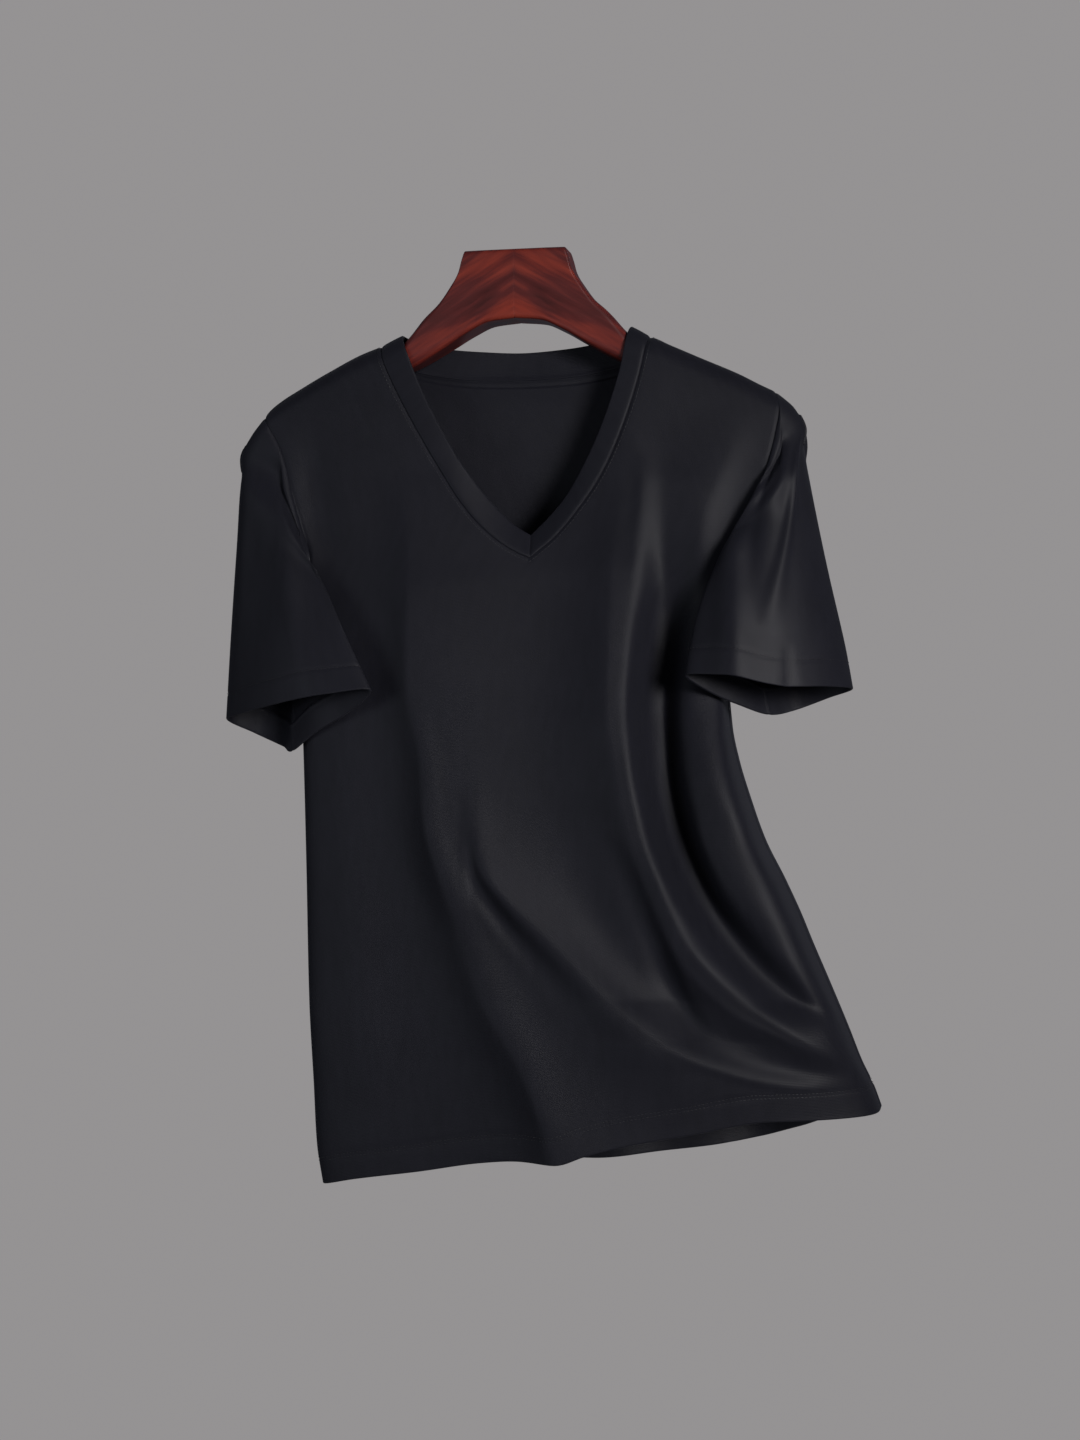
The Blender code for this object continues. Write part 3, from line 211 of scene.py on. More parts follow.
# Folds that run across, from the left ridge down to the right corner: x, z, how far they stand
# out, and their widths below and above.
FOLDS_ACROSS = {
    "sweep_ridge": [
        (-3.1, -45, 0, 0.9, 1.2), (-1.1, -48.1, 0.72, 1, 1.8), (1, -50.4, 0.96, 1.3, 2.2),
        (3.4, -52.6, 1.12, 1.8, 2.6), (8.1, -57, 1.45, 2.8, 2.4), (11.7, -59.8, 1.55, 3.8, 2),
        (15, -61.4, 1.55, 4.6, 1.8), (19.9, -62.5, 1.4, 4.6, 1.6), (22.8, -62.9, 1.15, 4, 1.4),
        (26.4, -62.9, 0.45, 2.8, 1.2), (28.6, -63.1, 0, 2.5, 1.2),
    ],
    "sweep_line": [
        (-1.5, -46.6, 0, 0.4, 0.4), (-0.5, -48.1, 0.1, 0.3, 0.5), (4.2, -52.5, 0.1, 0.4, 0.6),
        (9.1, -56.9, 0.12, 0.4, 0.6), (15.3, -60.8, 0.16, 0.4, 0.6), (20.6, -62.3, 0.16, 0.4, 0.6),
        (24.3, -62.7, 0.08, 0.4, 0.6), (26.4, -62.8, 0, 0.4, 0.6),
    ],
    "sweep_crease": [
        (-2.9, -45.6, 0, 0.5, 0.5), (-2, -47.9, -0.35, 0.5, 0.5), (-0.2, -50.4, -0.45, 0.6, 0.5),
        (2.6, -53.4, -0.3, 0.8, 0.6), (6.3, -57.1, -0.12, 1, 0.8), (8.6, -59.2, 0, 1, 0.8),
    ],
}
# How sharply a fold comes to its crest, on its left (or lower) and right (or upper) side: 2 is
# round, 1 a point.
ROUND = 2.0, 2.0
FOLD_SHARP = {"left_ridge": (1.3, 1.9), "right_ridge": (1.3, 3.2), "sweep_ridge": (1.35, 1.6),
              "deep_trough": (3.4, 2.2), "right_edge": (1.3, 2.0)}
# The back panel's folds, plainer than the front's and of the same sizes.
FOLDS_BACK = {
    "back_left": [
        (-16, -7, 0, 2.4, 2.4), (-30, -6.4, 0.7, 2.4, 2.2), (-46, -4.6, 1.2, 2.4, 2),
        (-60, -2.2, 1.5, 2.6, 2.2), (-71, -0.6, 1.7, 2.8, 2.6),
    ],
    "back_middle": [
        (-22, 1.6, 0, 2.2, 2.2), (-36, 2.2, -0.7, 2.2, 2.2), (-52, 4.2, -1, 2.4, 2.2),
        (-71, 7, -1.2, 2.6, 2.6),
    ],
    "back_right": [
        (-14, 9, 0, 2.2, 2.2), (-28, 9.2, 0.9, 2.2, 1.8), (-44, 10.4, 1.4, 2.2, 1.7),
        (-56, 14.6, 1.4, 2.2, 1.8), (-69, 18.6, 1.2, 2.4, 2.2),
    ],
    "back_edge": [
        (-30, 13.4, 0, 1.5, 1.4), (-44, 14.6, -0.9, 1.5, 1.4), (-56, 18.8, -0.9, 1.5, 1.5),
        (-66, 22.6, -0.6, 1.6, 1.6),
    ],
}

# Sleeves. A ring's share 0 is its outer edge, TIP its front fold and UNDER its underarm.
TIP, UNDER = 0.40, 0.66
CUFF_LEFT = [  # share, x, y, z
    (0, -23.6, -0.3, -36.05), (0.08, -21.7, -2.6, -35.6), (0.2, -17.6, -5.4, -34.8),
    (0.31, -13.4, -6.5, -34.1), (0.4, -10, -6, -33.8), (0.5, -12.4, -4.1, -35.6),
    (0.58, -15.2, -3, -37), (0.66, -17.7, -1.2, -38.5), (0.76, -19.2, 0.9, -38.2),
    (0.88, -22, 1.7, -37.1),
]
CUFF_RIGHT = [  # share, x, y, z
    (0, 25.7, -0.5, -33.75), (0.08, 24.1, -3.6, -33.6), (0.18, 21, -6.2, -33.6),
    (0.29, 17.2, -7.1, -32.9), (0.4, 13.8, -5.8, -32.8), (0.48, 15.3, -4.3, -34),
    (0.57, 17.4, -2.4, -35), (0.66, 19.3, -0.2, -35.7), (0.76, 21, 1.7, -35.4),
    (0.88, 23.8, 1.5, -34.4),
]
# Down a sleeve: share of its length, how far its outer edge stands out, its front and back
# stand out, and its front fold leans.
SLEEVE_LEFT = [  # share, outer, front, back, tip
    (0, 0, 0, 0, 0), (0.06, 1, 0.15, 0.1, 0), (0.13, 1.7, 0.1, 0.2, 0), (0.2, 1.35, -0.1, 0.4, 0),
    (0.38, 1.1, 0.5, 0.8, 0.1), (0.74, 0.5, 0.4, 0.6, 0.1), (1, 0, 0, 0, 0),
]
SLEEVE_RIGHT = [  # share, outer, front, back, tip
    (0, 0, 0, 0, 0), (0.06, 1.1, 0.15, 0.1, 0), (0.12, 1.45, 0.1, 0.2, 0),
    (0.19, 0.95, -0.1, 0.4, 0.1), (0.28, 0.8, 0.4, 0.6, 0.3), (0.62, 0.4, 0.6, 0.8, 0.7),
    (0.85, 0.25, 0.3, 0.4, 0.4), (1, 0, 0, 0, 0),
]
TIP_HEIGHT = {-1: -23.5, 1: -18.4}  # where the front fold crosses the armhole seam
# Where the sleeve folds over its own seam: how far it stands off the body and past the seam.
CURL = [  # share, off, past
    (0, 0, 0), (0.008, 0.16, 0.17), (0.035, 0.38, 0.16), (0.08, 0.5, 0.05), (0.25, 0.55, 0),
    (1, 0, 0),
]
# The crease across a sleeve's front under its cap, and the swell below it: share down, depth, width.
CREASE_AT, CREASE_DEEP, CREASE_WIDE = 0.15, 0.6, 0.06
SWELL_AT, SWELL_OUT, SWELL_WIDE = 0.27, 0.7, 0.09
CREASE_CLIMB, IN_FRONT = 0.8, (-0.04, TIP + 0.01)  # it climbs to the front fold, between these
SLEEVE_LONG, SLEEVE_RINGS = 23.0, 92  # from armhole to cuff, cm, and the rings between
SLEEVE_ROUND, CUT_ROUND = 34.0, 33.0  # round a sleeve as worn, and as cut, cm
FIRST_RINGS = 1, 6  # rings that tell which way is out
ARM_GAPS = 0.24, 0.2  # points along the armhole, up the side and on top, cm
HOLE_EASE, CREASE_EASE, CAP_EASE = 0.03, 0.06, 0.05  # where each comes in, shares down a sleeve
UNDER_END, CUFF_RING = 0.02, 0.9  # where the underarm seam starts, and the ring read at the cuff
UNDER_LIFT = (0.0, 1.25, 2.5, 4.4), (1.0, 0.7, 0.4, 0.0)  # cloth lifts off the underarm, by cm

# Hanger: half of its length, from the middle out. Inside the shirt its top follows the shoulder.
HANGER_END, HANGER_UNDER_CLOTH = 19.3, 10.4
HANGER_CLEAR = 0.3  # between the wood and the shoulder line, cm
HANGER_MEET = 1.4  # run in which the top comes to the shoulder's line, cm
HANGER_TIP, TIP_DROP = 18.3, 1.1  # from where each arm's end rounds down, and how far, cm
# Cuts along each arm: from, to, gap.
HANGER_CUTS = (0.5, 3.6, 0.28), (3.6, 5.0, 0.07), (5.0, 10.4, 0.2), (10.4, 18.2, 0.28)
HANGER_NEAR = [0.0, 0.02, 0.04, 0.07, 0.11, 0.18, 0.3]  # cuts beside the joint, cm
TIP_CUTS, CORNER_STEPS = 14, 7  # cuts over each arm's end, points round each corner
FLAT_CUTS = 0.04, 0.5, 0.96  # points across each flat of the hanger's section
EDGE_MOST = 0.98, 0.48  # of half the depth, and of the height
HANGER_TOP = [  # x, z
    (0, 0), (3.9, 0), (4.15, -0.6), (4.4, -1.5), (5.1, -2.7), (6, -3.9), (7.2, -5), (8.4, -6.35),
    (9.6, -7.4), (10.4, -7.65),
]
HANGER_BODY = [  # x, underside, half depth, edge radius
    (0, -5.3, 1.5, 0.35), (2, -5.5, 1.5, 0.35), (3.6, -6.2, 1.48, 0.4), (5.3, -7.2, 1.45, 0.5),
    (7.9, -8.65, 1.4, 0.8), (9.6, -9.4, 1.38, 1.1), (14, -11.5, 1.36, 1.25),
    (18, -13.3, 1.32, 1.2), (19, -13.5, 1.1, 1), (19.3, -13.2, 0.7, 0.65),
]

OUTER_WIDE, TIP_WIDE = 0.16, 0.14  # of a ring's outer edge and front fold, in shares
# Where round a ring the sleeve folds over its seam, and where its cap reaches out: start, rise,
# end, fall, in shares.
FOLDED_OVER = TIP - 0.12, 0.12, UNDER + 0.2, 0.14
CAPPED = 0.12, 0.1, TIP + 0.04, 0.08
# How far the sleeve's cap reaches out over the armhole seam.
CAP_REACH = [(0, 0), (0.035, 0.5), (0.1, 0.4), (0.3, 0), (1, 0)]  # share, reach
SEAM_DIP, SEAM_WIDE = 0.07, 0.16  # the dip along sewn seams, cm
HEM_DIP, HEM_WIDE = 0.055, 0.09  # the dip along a hem's stitching, cm
JOINT_DEEP, JOINT_WIDE = 0.006, 0.03  # the joint line of the hanger's two arms, cm
NO_SEAM = 9.0  # far enough off a seam to have no dip, cm
BAND_BULGE, BAND_LEAN, LEAN_RUN = 0.035, 0.35, 12.0  # the neckband's roll and forward lean, cm
BAND_ROWS, BAND_TURN, BAND_SET = 26, 0.3, 0.01  # rows, share that turns, set in from FACE, cm
BAND_FADE = 3  # its lines run out over one part in this of its width, at the free edge
BACK_NECK_STEPS = 100  # points along the back of the neck
MITRE_DEEP, MITRE_WIDE = 0.05, 0.09  # the line of its mitre, cm
STITCH = {"Pitch": 0.003, "Length": 0.0022, "Thread radius": 0.00022}  # m
PROUD = 0.004  # how far the stitches stand off the cloth, cm
STITCH_COLUMNS, STITCH_ENDS = 300, (0.001, 0.999)  # points along a hem's stitching, shares across
HEM_ROWS, NECK_ROW = (HEM_UP, HEM_UP - 0.25), 0.3  # rows of stitches, from the edge or seam, cm

# Fine creases down a sleeve: share down, share round the ring, how far out, width.
SLEEVE_FINE_LEFT = {
    "soft_ridge": [(0.3, 0.22, 0, 1.3), (0.5, 0.23, 0.18, 1.3), (0.8, 0.26, 0.2, 1.4),
                   (1, 0.27, 0.08, 1.4)],
    "outer_dent": [(0.2, 0.06, 0, 1), (0.35, 0.07, -0.12, 1.1), (0.6, 0.09, 0, 1.2)],
}
SLEEVE_FINE_RIGHT = {
    "upper_ridge": [(0.12, 0.04, 0, 0.5), (0.19, 0.06, 0.26, 0.5), (0.26, 0.09, 0.34, 0.55),
                    (0.46, 0.15, 0.32, 0.7), (0.67, 0.195, 0.2, 0.9), (0.82, 0.21, 0, 1)],
    "broad_ridge": [(0.28, 0.36, 0, 1.1), (0.46, 0.332, 0.6, 1.2), (0.81, 0.296, 0.62, 1.3),
                    (0.95, 0.284, 0.5, 1.3), (1, 0.28, 0.4, 1.3)],
    "cuff_tuck": [(0.82, 0.165, 0, 0.3), (0.87, 0.165, -0.1, 0.3), (1, 0.165, -0.2, 0.4)],
}

WALE, COURSE, LOOP_BEND = 0.0009, 0.0011, 2.4  # knit loop's width and height, m, and its bend
# Colours, linear red, green and blue.
DYE_DARK, DYE_LIGHT = (0.0056, 0.0057, 0.0084), (0.0082, 0.0083, 0.0120)
THREAD_TONE = 0.9  # the thread's light places, as a share of the cloth's
WOOD_STREAK, WOOD_RED = (0.034, 0.0055, 0.0048), (0.070, 0.0088, 0.0075)
WOOD_LIGHT = (0.175, 0.021, 0.0105)
GRAIN = (  # scale, detail, streak length, share
    (42.0, 3.0, 4.0, 0.55), (150.0, 5.0, 9.0, 0.35), (500.0, 2.0, 14.0, 0.1),
)
# Painted highlight, the wood drawn lighter on the front face over the arch: its middle and reach, m,
# and how much lighter.
HIGHLIGHT_AT, HIGHLIGHT_REACH, HIGHLIGHT_MOST = (0.0, -0.014, -0.058), 0.05, 0.115
GRAIN_SLOPE, GRAIN_WARP = 30.0, 0.4  # how steeply the grain climbs each arm, degrees, and its bends

# Camera: what it looks at, how far off it stands, m, and its turn towards +X, degrees.
CAMERA_TO, CAMERA_FAR, CAMERA_TURN = (0.01734, 0.0, -0.36076), 1.7, 12.0
LENS, SENSOR = 55.25, 36.0  # mm
SHIRT_MIDDLE = (0.02, 0.0, -0.38)  # what the lights point at, m
ROOM, ROOM_LIGHT = (0.30, 0.29, 0.293), (0.062, 0.064, 0.078)  # as seen, and as light
FLOOR_DOWN, FLOOR_REACH, FLOOR_SIDES = -1.45, 1.25, 96
LIGHTS = [  # name, place and size in m, power in W, spread in degrees, colour
    ("key", (2.0, -2.2, 0.1), 1.1, 5.7, 32.0, (1.0, 0.98, 0.97)),
    ("fill", (-2.1, -2.0, -0.4), 1.8, 2.6, 60.0, (0.88, 0.94, 1.0)),
    ("behind", (0.3, 2.6, 0.7), 2.4, 45.0, 180.0, (1.0, 1.0, 1.0)),
]


# ---------------------------------------------------------------- curves

def hermite(t, span, start, slope_in, end, slope_out):
    """A cubic over span from start to end, at share t of it."""
    return (
        (2 * t ** 3 - 3 * t ** 2 + 1) * start
        + (t ** 3 - 2 * t ** 2 + t) * span * slope_in
        + (-2 * t ** 3 + 3 * t ** 2) * end
        + (t ** 3 - t ** 2) * span * slope_out
    )


def curve(keys, values, at):
    """A smooth line through a table's points that never swings past them."""
    k, v = np.asarray(keys, float), np.asarray(values, float)
    a = np.clip(np.asarray(at, float), k[0], k[-1])
    step = np.diff(k)
    slope = np.diff(v) / step
    m = np.zeros(len(k))
    m[0], m[-1] = slope[0], slope[-1]
    same = slope[:-1] * slope[1:] > 0
    w1, w2 = 2 * step[1:] + step[:-1], step[1:] + 2 * step[:-1]
    safe = np.where(same, slope[:-1], 1.0), np.where(same, slope[1:], 1.0)
    m[1:-1] = np.where(same, (w1 + w2) / (w1 / safe[0] + w2 / safe[1]), 0.0)
    i = np.clip(np.searchsorted(k, a, side="right") - 1, 0, len(k) - 2)
    return hermite((a - k[i]) / step[i], step[i], v[i], m[i], v[i + 1], m[i + 1])


def column(table, n):
    return [row[n] for row in table]


def along(table, n, at):
    """Column n of a table, read at values of its first column."""
    return curve(column(table, 0), column(table, n), at)


def smooth(x):
    x = np.clip(x, 0.0, 1.0)
    return x * x * (3 - 2 * x)


def hill(x, start, end):
    """0 at start and end, 1 midway."""
    return np.sin(math.pi * np.clip((x - start) / (end - start), 0, 1))


def mix(a, b, share):
    return a * (1 - share) + b * share


def unit(v):
    return v / np.maximum(np.linalg.norm(v, axis=-1, keepdims=True), ZERO)


# ---------------------------------------------------------------- body surface

def roll(under):
    """Depth of cloth that goes over the hanger's round shoulder, by how far under the line it is."""
    h = np.clip(under / ROLL, 0.0, 1.0)
    return ROLL * np.sqrt(1 - (1 - h) ** 2)


def fold(at, aside, rows, sharp=ROUND):
    """One fold's height at a place along its run and a place aside of it."""
    if rows[0][0] > rows[-1][0]:
        rows = rows[::-1]
    before, after = along(rows, 1, at - SLOPE_STEP), along(rows, 1, at + SLOPE_STEP)
    lean = (after - before) / (2 * SLOPE_STEP)
    off = (aside - along(rows, 1, at)) / np.sqrt(1 + lean ** 2)
    wide = np.where(off < 0, along(rows, 3, at), along(rows, 4, at))
    return along(rows, 2, at) * crest(off, wide, sharp)


def crest(off, wide, sharp):
    """A fold's height across its width, 1 on its crest."""
    power = np.where(off < 0, sharp[0], sharp[1])
    near = np.sqrt(off ** 2 + CREST_ROUND ** 2) - CREST_ROUND
    return np.exp(-(near / (wide * FOLD_SOFT)) ** power)


def front_folds(x, z):
    down = sum(fold(z, x, rows, FOLD_SHARP.get(name, ROUND)) for name, rows in FOLDS_DOWN.items())
    return down + sum(fold(x, z, rows, FOLD_SHARP.get(name, ROUND))
                      for name, rows in FOLDS_ACROSS.items())


def back_folds(x, z):
    return sum(fold(z, x, rows) for rows in FOLDS_BACK.values())


def body(u, v, face):
    """The cloth's outer face at share u across and v up; face is -1 in front and +1 behind."""
    u, v = np.broadcast_arrays(np.asarray(u, float), np.asarray(v, float))
    z_l, z_r = (rows[0][0] + (rows[-1][0] - rows[0][0]) * v for rows in (EDGE_LEFT, EDGE_RIGHT))
    x = mix(along(EDGE_LEFT, 1, z_l), along(EDGE_RIGHT, 1, z_r), u)
    x_low, x_top = (mix(EDGE_LEFT[i][1], EDGE_RIGHT[i][1], u) for i in (0, -1))
    z_hem = along(HEM_FRONT if face < 0 else HEM_BACK, 1, x_low)
    z_top = along(SHOULDER, 1, x_top)
    if face > 0:
        z_top = z_top - along(NECK_BACK, 1, x_top)
    z = z_hem + (z_top - z_hem) * v
    over = roll(along(SHOULDER, 1, x) - z)
    sides = [along(rows, 2, at) + face * along(rows, 3, at) * (over / ROLL)
             for rows, at in ((EDGE_LEFT, z_l), (EDGE_RIGHT, z_r))]
    edge = mix(*sides, u)
    deep = face * (over + along(DEPTH, 1 if face < 0 else 2, v))
    across = np.clip(np.abs(2 * u - 1), 0, 1)
    left, right = SIDE_SQUARE
    power = np.where(u < 0.5, left, left + (right - left) * smooth(v / SQUARE_UP))
    square = (1 - across ** power) ** (1 / power)
    folds = front_folds(x, z) if face < 0 else back_folds(x, z)
    y = edge + square * (deep + face * folds * smooth((1 - v) / FOLDS_END) - edge)
    return np.stack([x, y, z], axis=-1)


def body_normal(u, v, face):
    """Outward direction of the body's surface."""
    u0, u1 = (np.clip(u + d, 0, 1) for d in (-NUDGE, NUDGE))
    v0, v1 = (np.clip(v + d, 0, 1) for d in (-NUDGE, NUDGE))
    du = body(u1, v, face) - body(u0, v, face)
    dv = body(u, v1, face) - body(u, v0, face)
    return unit(np.cross(du, dv) * -face)


def neck_share(v, side):
    """Share across the front at which the neck seam crosses height v."""
    rows = NECK_LEFT if side < 0 else NECK_RIGHT
    lo, hi = (0.0, V_SHARE[0]) if side < 0 else (V_SHARE[0], 1.0)
    lo, hi = np.full(np.shape(v), lo), np.full(np.shape(v), hi)
    for _ in range(HALVINGS):
        mid = (lo + hi) / 2
        p = body(mid, v, -1)
        right_of = p[..., 0] > along(rows, 1, p[..., 2])
        hi, lo = np.where(right_of, mid, hi), np.where(right_of, lo, mid)
    return (lo + hi) / 2


def find_v_point():
    """The V's place in shares across and up the front."""
    u = v = 0.5
    for _ in range(V_ROUNDS):
        p = body(u, v, -1)
        u = float(np.clip(u + (V_POINT[0] - p[0]) / BODY_WIDE, 0, 1))
        v = float(np.clip(v + (V_POINT[1] - p[2]) / TALL, 0, 1))
    return u, v


V_SHARE = find_v_point()


def height(u, face):
    """Length of the body from hem to shoulder at share u across, cm."""
    return body(u, 1.0, face)[..., 2] - body(u, 0.0, face)[..., 2]


def seam_normals(u, v, face):
    """The panel's outward direction, squared up along its side and shoulder seams."""
    n = body_normal(u, v, face)
    flat = unit(n * np.array([1.0, 0.0, 1.0]))
    at_side = (u < TINY) | (u > 1 - TINY)
    side = smooth((UNDERARM + SIDE_EASE - v) / SIDE_EASE) * at_side
    on_top = smooth(1 - np.abs(body(u, v, face)[..., 1]) / TOP_EASE) * (v > 1 - TINY)
    return unit(mix(n, flat, np.maximum(side, on_top)[..., None]))


def panel_grid(u, v, face):
    """A panel's outward directions, its middle surface, and its places on the flat cloth."""
    skin = body(u, v, face)
    at_edge = (u < TINY) | (u > 1 - TINY) | (v > 1 - TINY)
    normal = np.where(at_edge[..., None], seam_normals(u, v, face), body_normal(u, v, face))
    across = np.cumsum(np.linalg.norm(np.diff(skin, axis=1), axis=2), axis=1)
    across = np.concatenate([np.zeros((len(u), 1)), across], axis=1)
    uv = np.stack([across, v * height(u, face)], axis=-1)
    return normal, skin - normal * FACE, uv.reshape(-1, 2)


# ---------------------------------------------------------------- rows and columns

def steps(length, count, near=True, far=True):
    """Places from 0 to length in count steps, fine beside the edges that need it."""
    low = EDGE_STEPS if near else [0.0]
    high = [length - e for e in EDGE_STEPS[::-1]] if far else [length]
    even = count - len(low) - len(high) + 2
    return np.array(low + list(np.linspace(low[-1], high[0], even + 1)[1:-1]) + high)


def run_of(points):
    """Length along a line of points, from its start."""
    step = np.linalg.norm(np.diff(points, axis=0), axis=1)
    return np.concatenate([[0.0], np.cumsum(step)])


def top_rows(gap):
    """Heights v over the hanger's round shoulder, up to the seam on top."""
    turn = np.arange(EDGE_STEPS[-1] + gap, ROLL * math.pi / 2, gap) / ROLL
    turn = np.concatenate([np.array(EDGE_STEPS) / ROLL, turn])
    return 1 - ROLL / TALL * (1 - np.cos(turn))[::-1]


def rows_between(low, high, gap):
    return np.linspace(low, high, max(2, int(round((high - low) * TALL / gap))) + 1)[:-1]


def hem_rows(gap):
    """Heights v from the hem to just under the underarm."""
    reach = UNDERARM * TALL
    return steps(reach, int(reach / gap) + len(EDGE_STEPS), True, False)[:-1] / TALL


def columns(face, lo, hi, count, near, far, sides):
    """Shares of the run from lo to hi, even along the cloth, fine beside the edges asked for.

    sides says which of lo and hi are side seams, where the body turns sharply.
    """
    t = np.linspace(0, 1, RUN_FINE)
    a = t ** SIDE_CROWD if sides[0] else t
    b = (1 - t) ** SIDE_CROWD if sides[1] else 1 - t
    u = lo + (hi - lo) * a / (a + b)
    run = run_of(body(u, np.full(u.shape, 0.5), face))
    return (np.interp(steps(run[-1], count, near, far), run, u) - lo) / (hi - lo)


# ---------------------------------------------------------------- meshes

def place(name, data):
    """A new object in the scene, unmoved."""
    obj = bpy.data.objects.new(name, data)
    bpy.context.scene.collection.objects.link(obj)
    return obj


def make_object(name, points, faces, mat, uvs=None):
    """A smooth-shaded mesh object from points in centimetres; uvs has a pair per face corner."""
    mesh = bpy.data.meshes.new(name)
    mesh.from_pydata((np.asarray(points) * CM).tolist(), [], faces)
    if uvs is not None:
        layer = mesh.uv_layers.new(name="cloth")
        layer.data.foreach_set("uv", np.asarray(uvs, np.float32).ravel())
    mesh.materials.append(mat)
    mesh.polygons.foreach_set("use_smooth", np.ones(len(mesh.polygons), bool))
    mesh.update()
    return place(name, mesh)


def grid_quads(index, closed=False):
    """Quads of a grid of point numbers, rows down the first axis."""
    here = index if closed else index[:, :-1]
    after = np.roll(index, -1, axis=1) if closed else index[:, 1:]
    return np.stack([here[:-1], after[:-1], after[1:], here[1:]], axis=-1).reshape(-1, 4)


def ring_corners(across, down):
    """The places on the flat cloth of each quad's four corners, for closed rings."""
    uv = np.stack(np.broadcast_arrays(across[None, :], down), axis=-1)
    quads = np.stack([uv[:-1, :-1], uv[:-1, 1:], uv[1:, 1:], uv[1:, :-1]], axis=2)
    return quads.reshape(-1, 4, 2)


def shell(name, middle, normal, outer, inner, quads, uvs, mat):
    """A closed wall of cloth round its middle surface.

    outer and inner are how far each face stands off the middle; quads has four point numbers a
    row and uvs their places on the flat cloth, in centimetres.
    """
    n = len(middle)
    points = np.concatenate([middle + normal * outer[:, None], middle - normal * inner[:, None]])
    a, b, c, d = (points[quads[:, i]] for i in range(4))
    facing = np.einsum("ij,ij->i", np.cross(c - a, d - b), normal[quads[:, 0]])
    if facing.sum() < 0:
        quads, uvs = quads[:, ::-1], uvs[:, ::-1]
    edges = np.concatenate([quads[:, [i, (i + 1) % 4]] for i in range(4)])
    corner = np.concatenate([uvs[:, [i, (i + 1) % 4]] for i in range(4)])
    low, high = edges.min(axis=1).astype(np.int64), edges.max(axis=1)
    _, first, count = np.unique(low * (n + 1) + high, return_index=True, return_counts=True)
    rim, rim_uv = edges[first[count == 1]], corner[first[count == 1]]
    ring = np.stack([rim[:, 1], rim[:, 0], rim[:, 0] + n, rim[:, 1] + n], axis=1)
    faces = np.concatenate([quads, quads[:, ::-1] + n, ring])
    uv = np.concatenate([uvs, uvs[:, ::-1], rim_uv[:, [1, 0, 0, 1]]])
    return make_object(name, points, faces.tolist(), mat, uv * CM)


def edge_distance(points, line):
    """Distance from each point to a line of points."""
    tree = KDTree(len(line))
    for i, p in enumerate(line):
        tree.insert(p, i)
    tree.balance()
    near = np.array([tree.find(p)[1] for p in points])
    best = np.full(len(points), np.inf)
    for k in (-1, 0):
        i = np.clip(near + k, 0, len(line) - 2)
        a, ab = line[i], line[i + 1] - line[i]
        t = np.einsum("ij,ij->i", points - a, ab) / np.maximum((ab ** 2).sum(axis=1), ZERO)
        off = points - a - ab * np.clip(t, 0, 1)[:, None]
        best = np.minimum(best, np.linalg.norm(off, axis=1))
    return best


def rounding(thick, edge):
    """Share of a wall's thickness left near its rounded edge."""
    k = np.clip(2 * edge / thick, 0, 1)
    return np.sqrt(np.clip(1 - (1 - k) ** 2, WALL_LEAST, 1))


def groove(distance, wide):
    return np.exp(-(distance / wide) ** 2)


def cloth_walls(hem_off, edge):
    """How far the outer and inner faces stand off the middle, with the hem turned up inside."""
    turned = TURNED * smooth((HEM_UP + HEM_TAIL - hem_off) / HEM_EASE)
    left = rounding(CLOTH + turned, edge)
    return CLOTH / 2 * left, (CLOTH / 2 + turned) * left


def sew(middle, normal, seam_off, hem_off):
    """Draw the cloth in along its seams and its hem's stitching."""
    deep = SEAM_DIP * groove(seam_off, SEAM_WIDE) + HEM_DIP * groove(hem_off - HEM_UP, HEM_WIDE)
    return middle - normal * deep[:, None]


# ---------------------------------------------------------------- front and back

def front_rows():
    skirt, belly, chest, top = FRONT_GAPS
    near = V_SHARE[1] + np.array(V_STEPS) / TALL
    over = top_rows(top)
    return np.concatenate([
        hem_rows(skirt),
        rows_between(UNDERARM, V_SHARE[1], belly),
        near,
        rows_between(near[-1] + V_NEXT / TALL, over[0], chest),
        over,
    ])


def slant(u, v):
    """Rows dip to the right under the underarm, the way the folds there run."""
    return v - ROW_DIP * hill(v, 0, UNDERARM) ** 2 * smooth((u - DIP_FROM) / DIP_RUN)


def panel(name, middle, normal, seams, quads, uv, mat):
    """A panel's wall of cloth; seams are the lines of points where it is sewn."""
    m, n = middle.reshape(-1, 3), normal.reshape(-1, 3)
    seam = np.minimum.reduce([edge_distance(m, line) for line in seams])
    hem = edge_distance(m, middle[0])
    outer, inner = cloth_walls(hem, np.minimum(seam, hem))
    quads, keep = compact(quads, len(m))
    m = sew(m, n, seam, hem)
    return shell(name, m[keep], n[keep], outer[keep], inner[keep], quads, uv[keep][quads], mat)


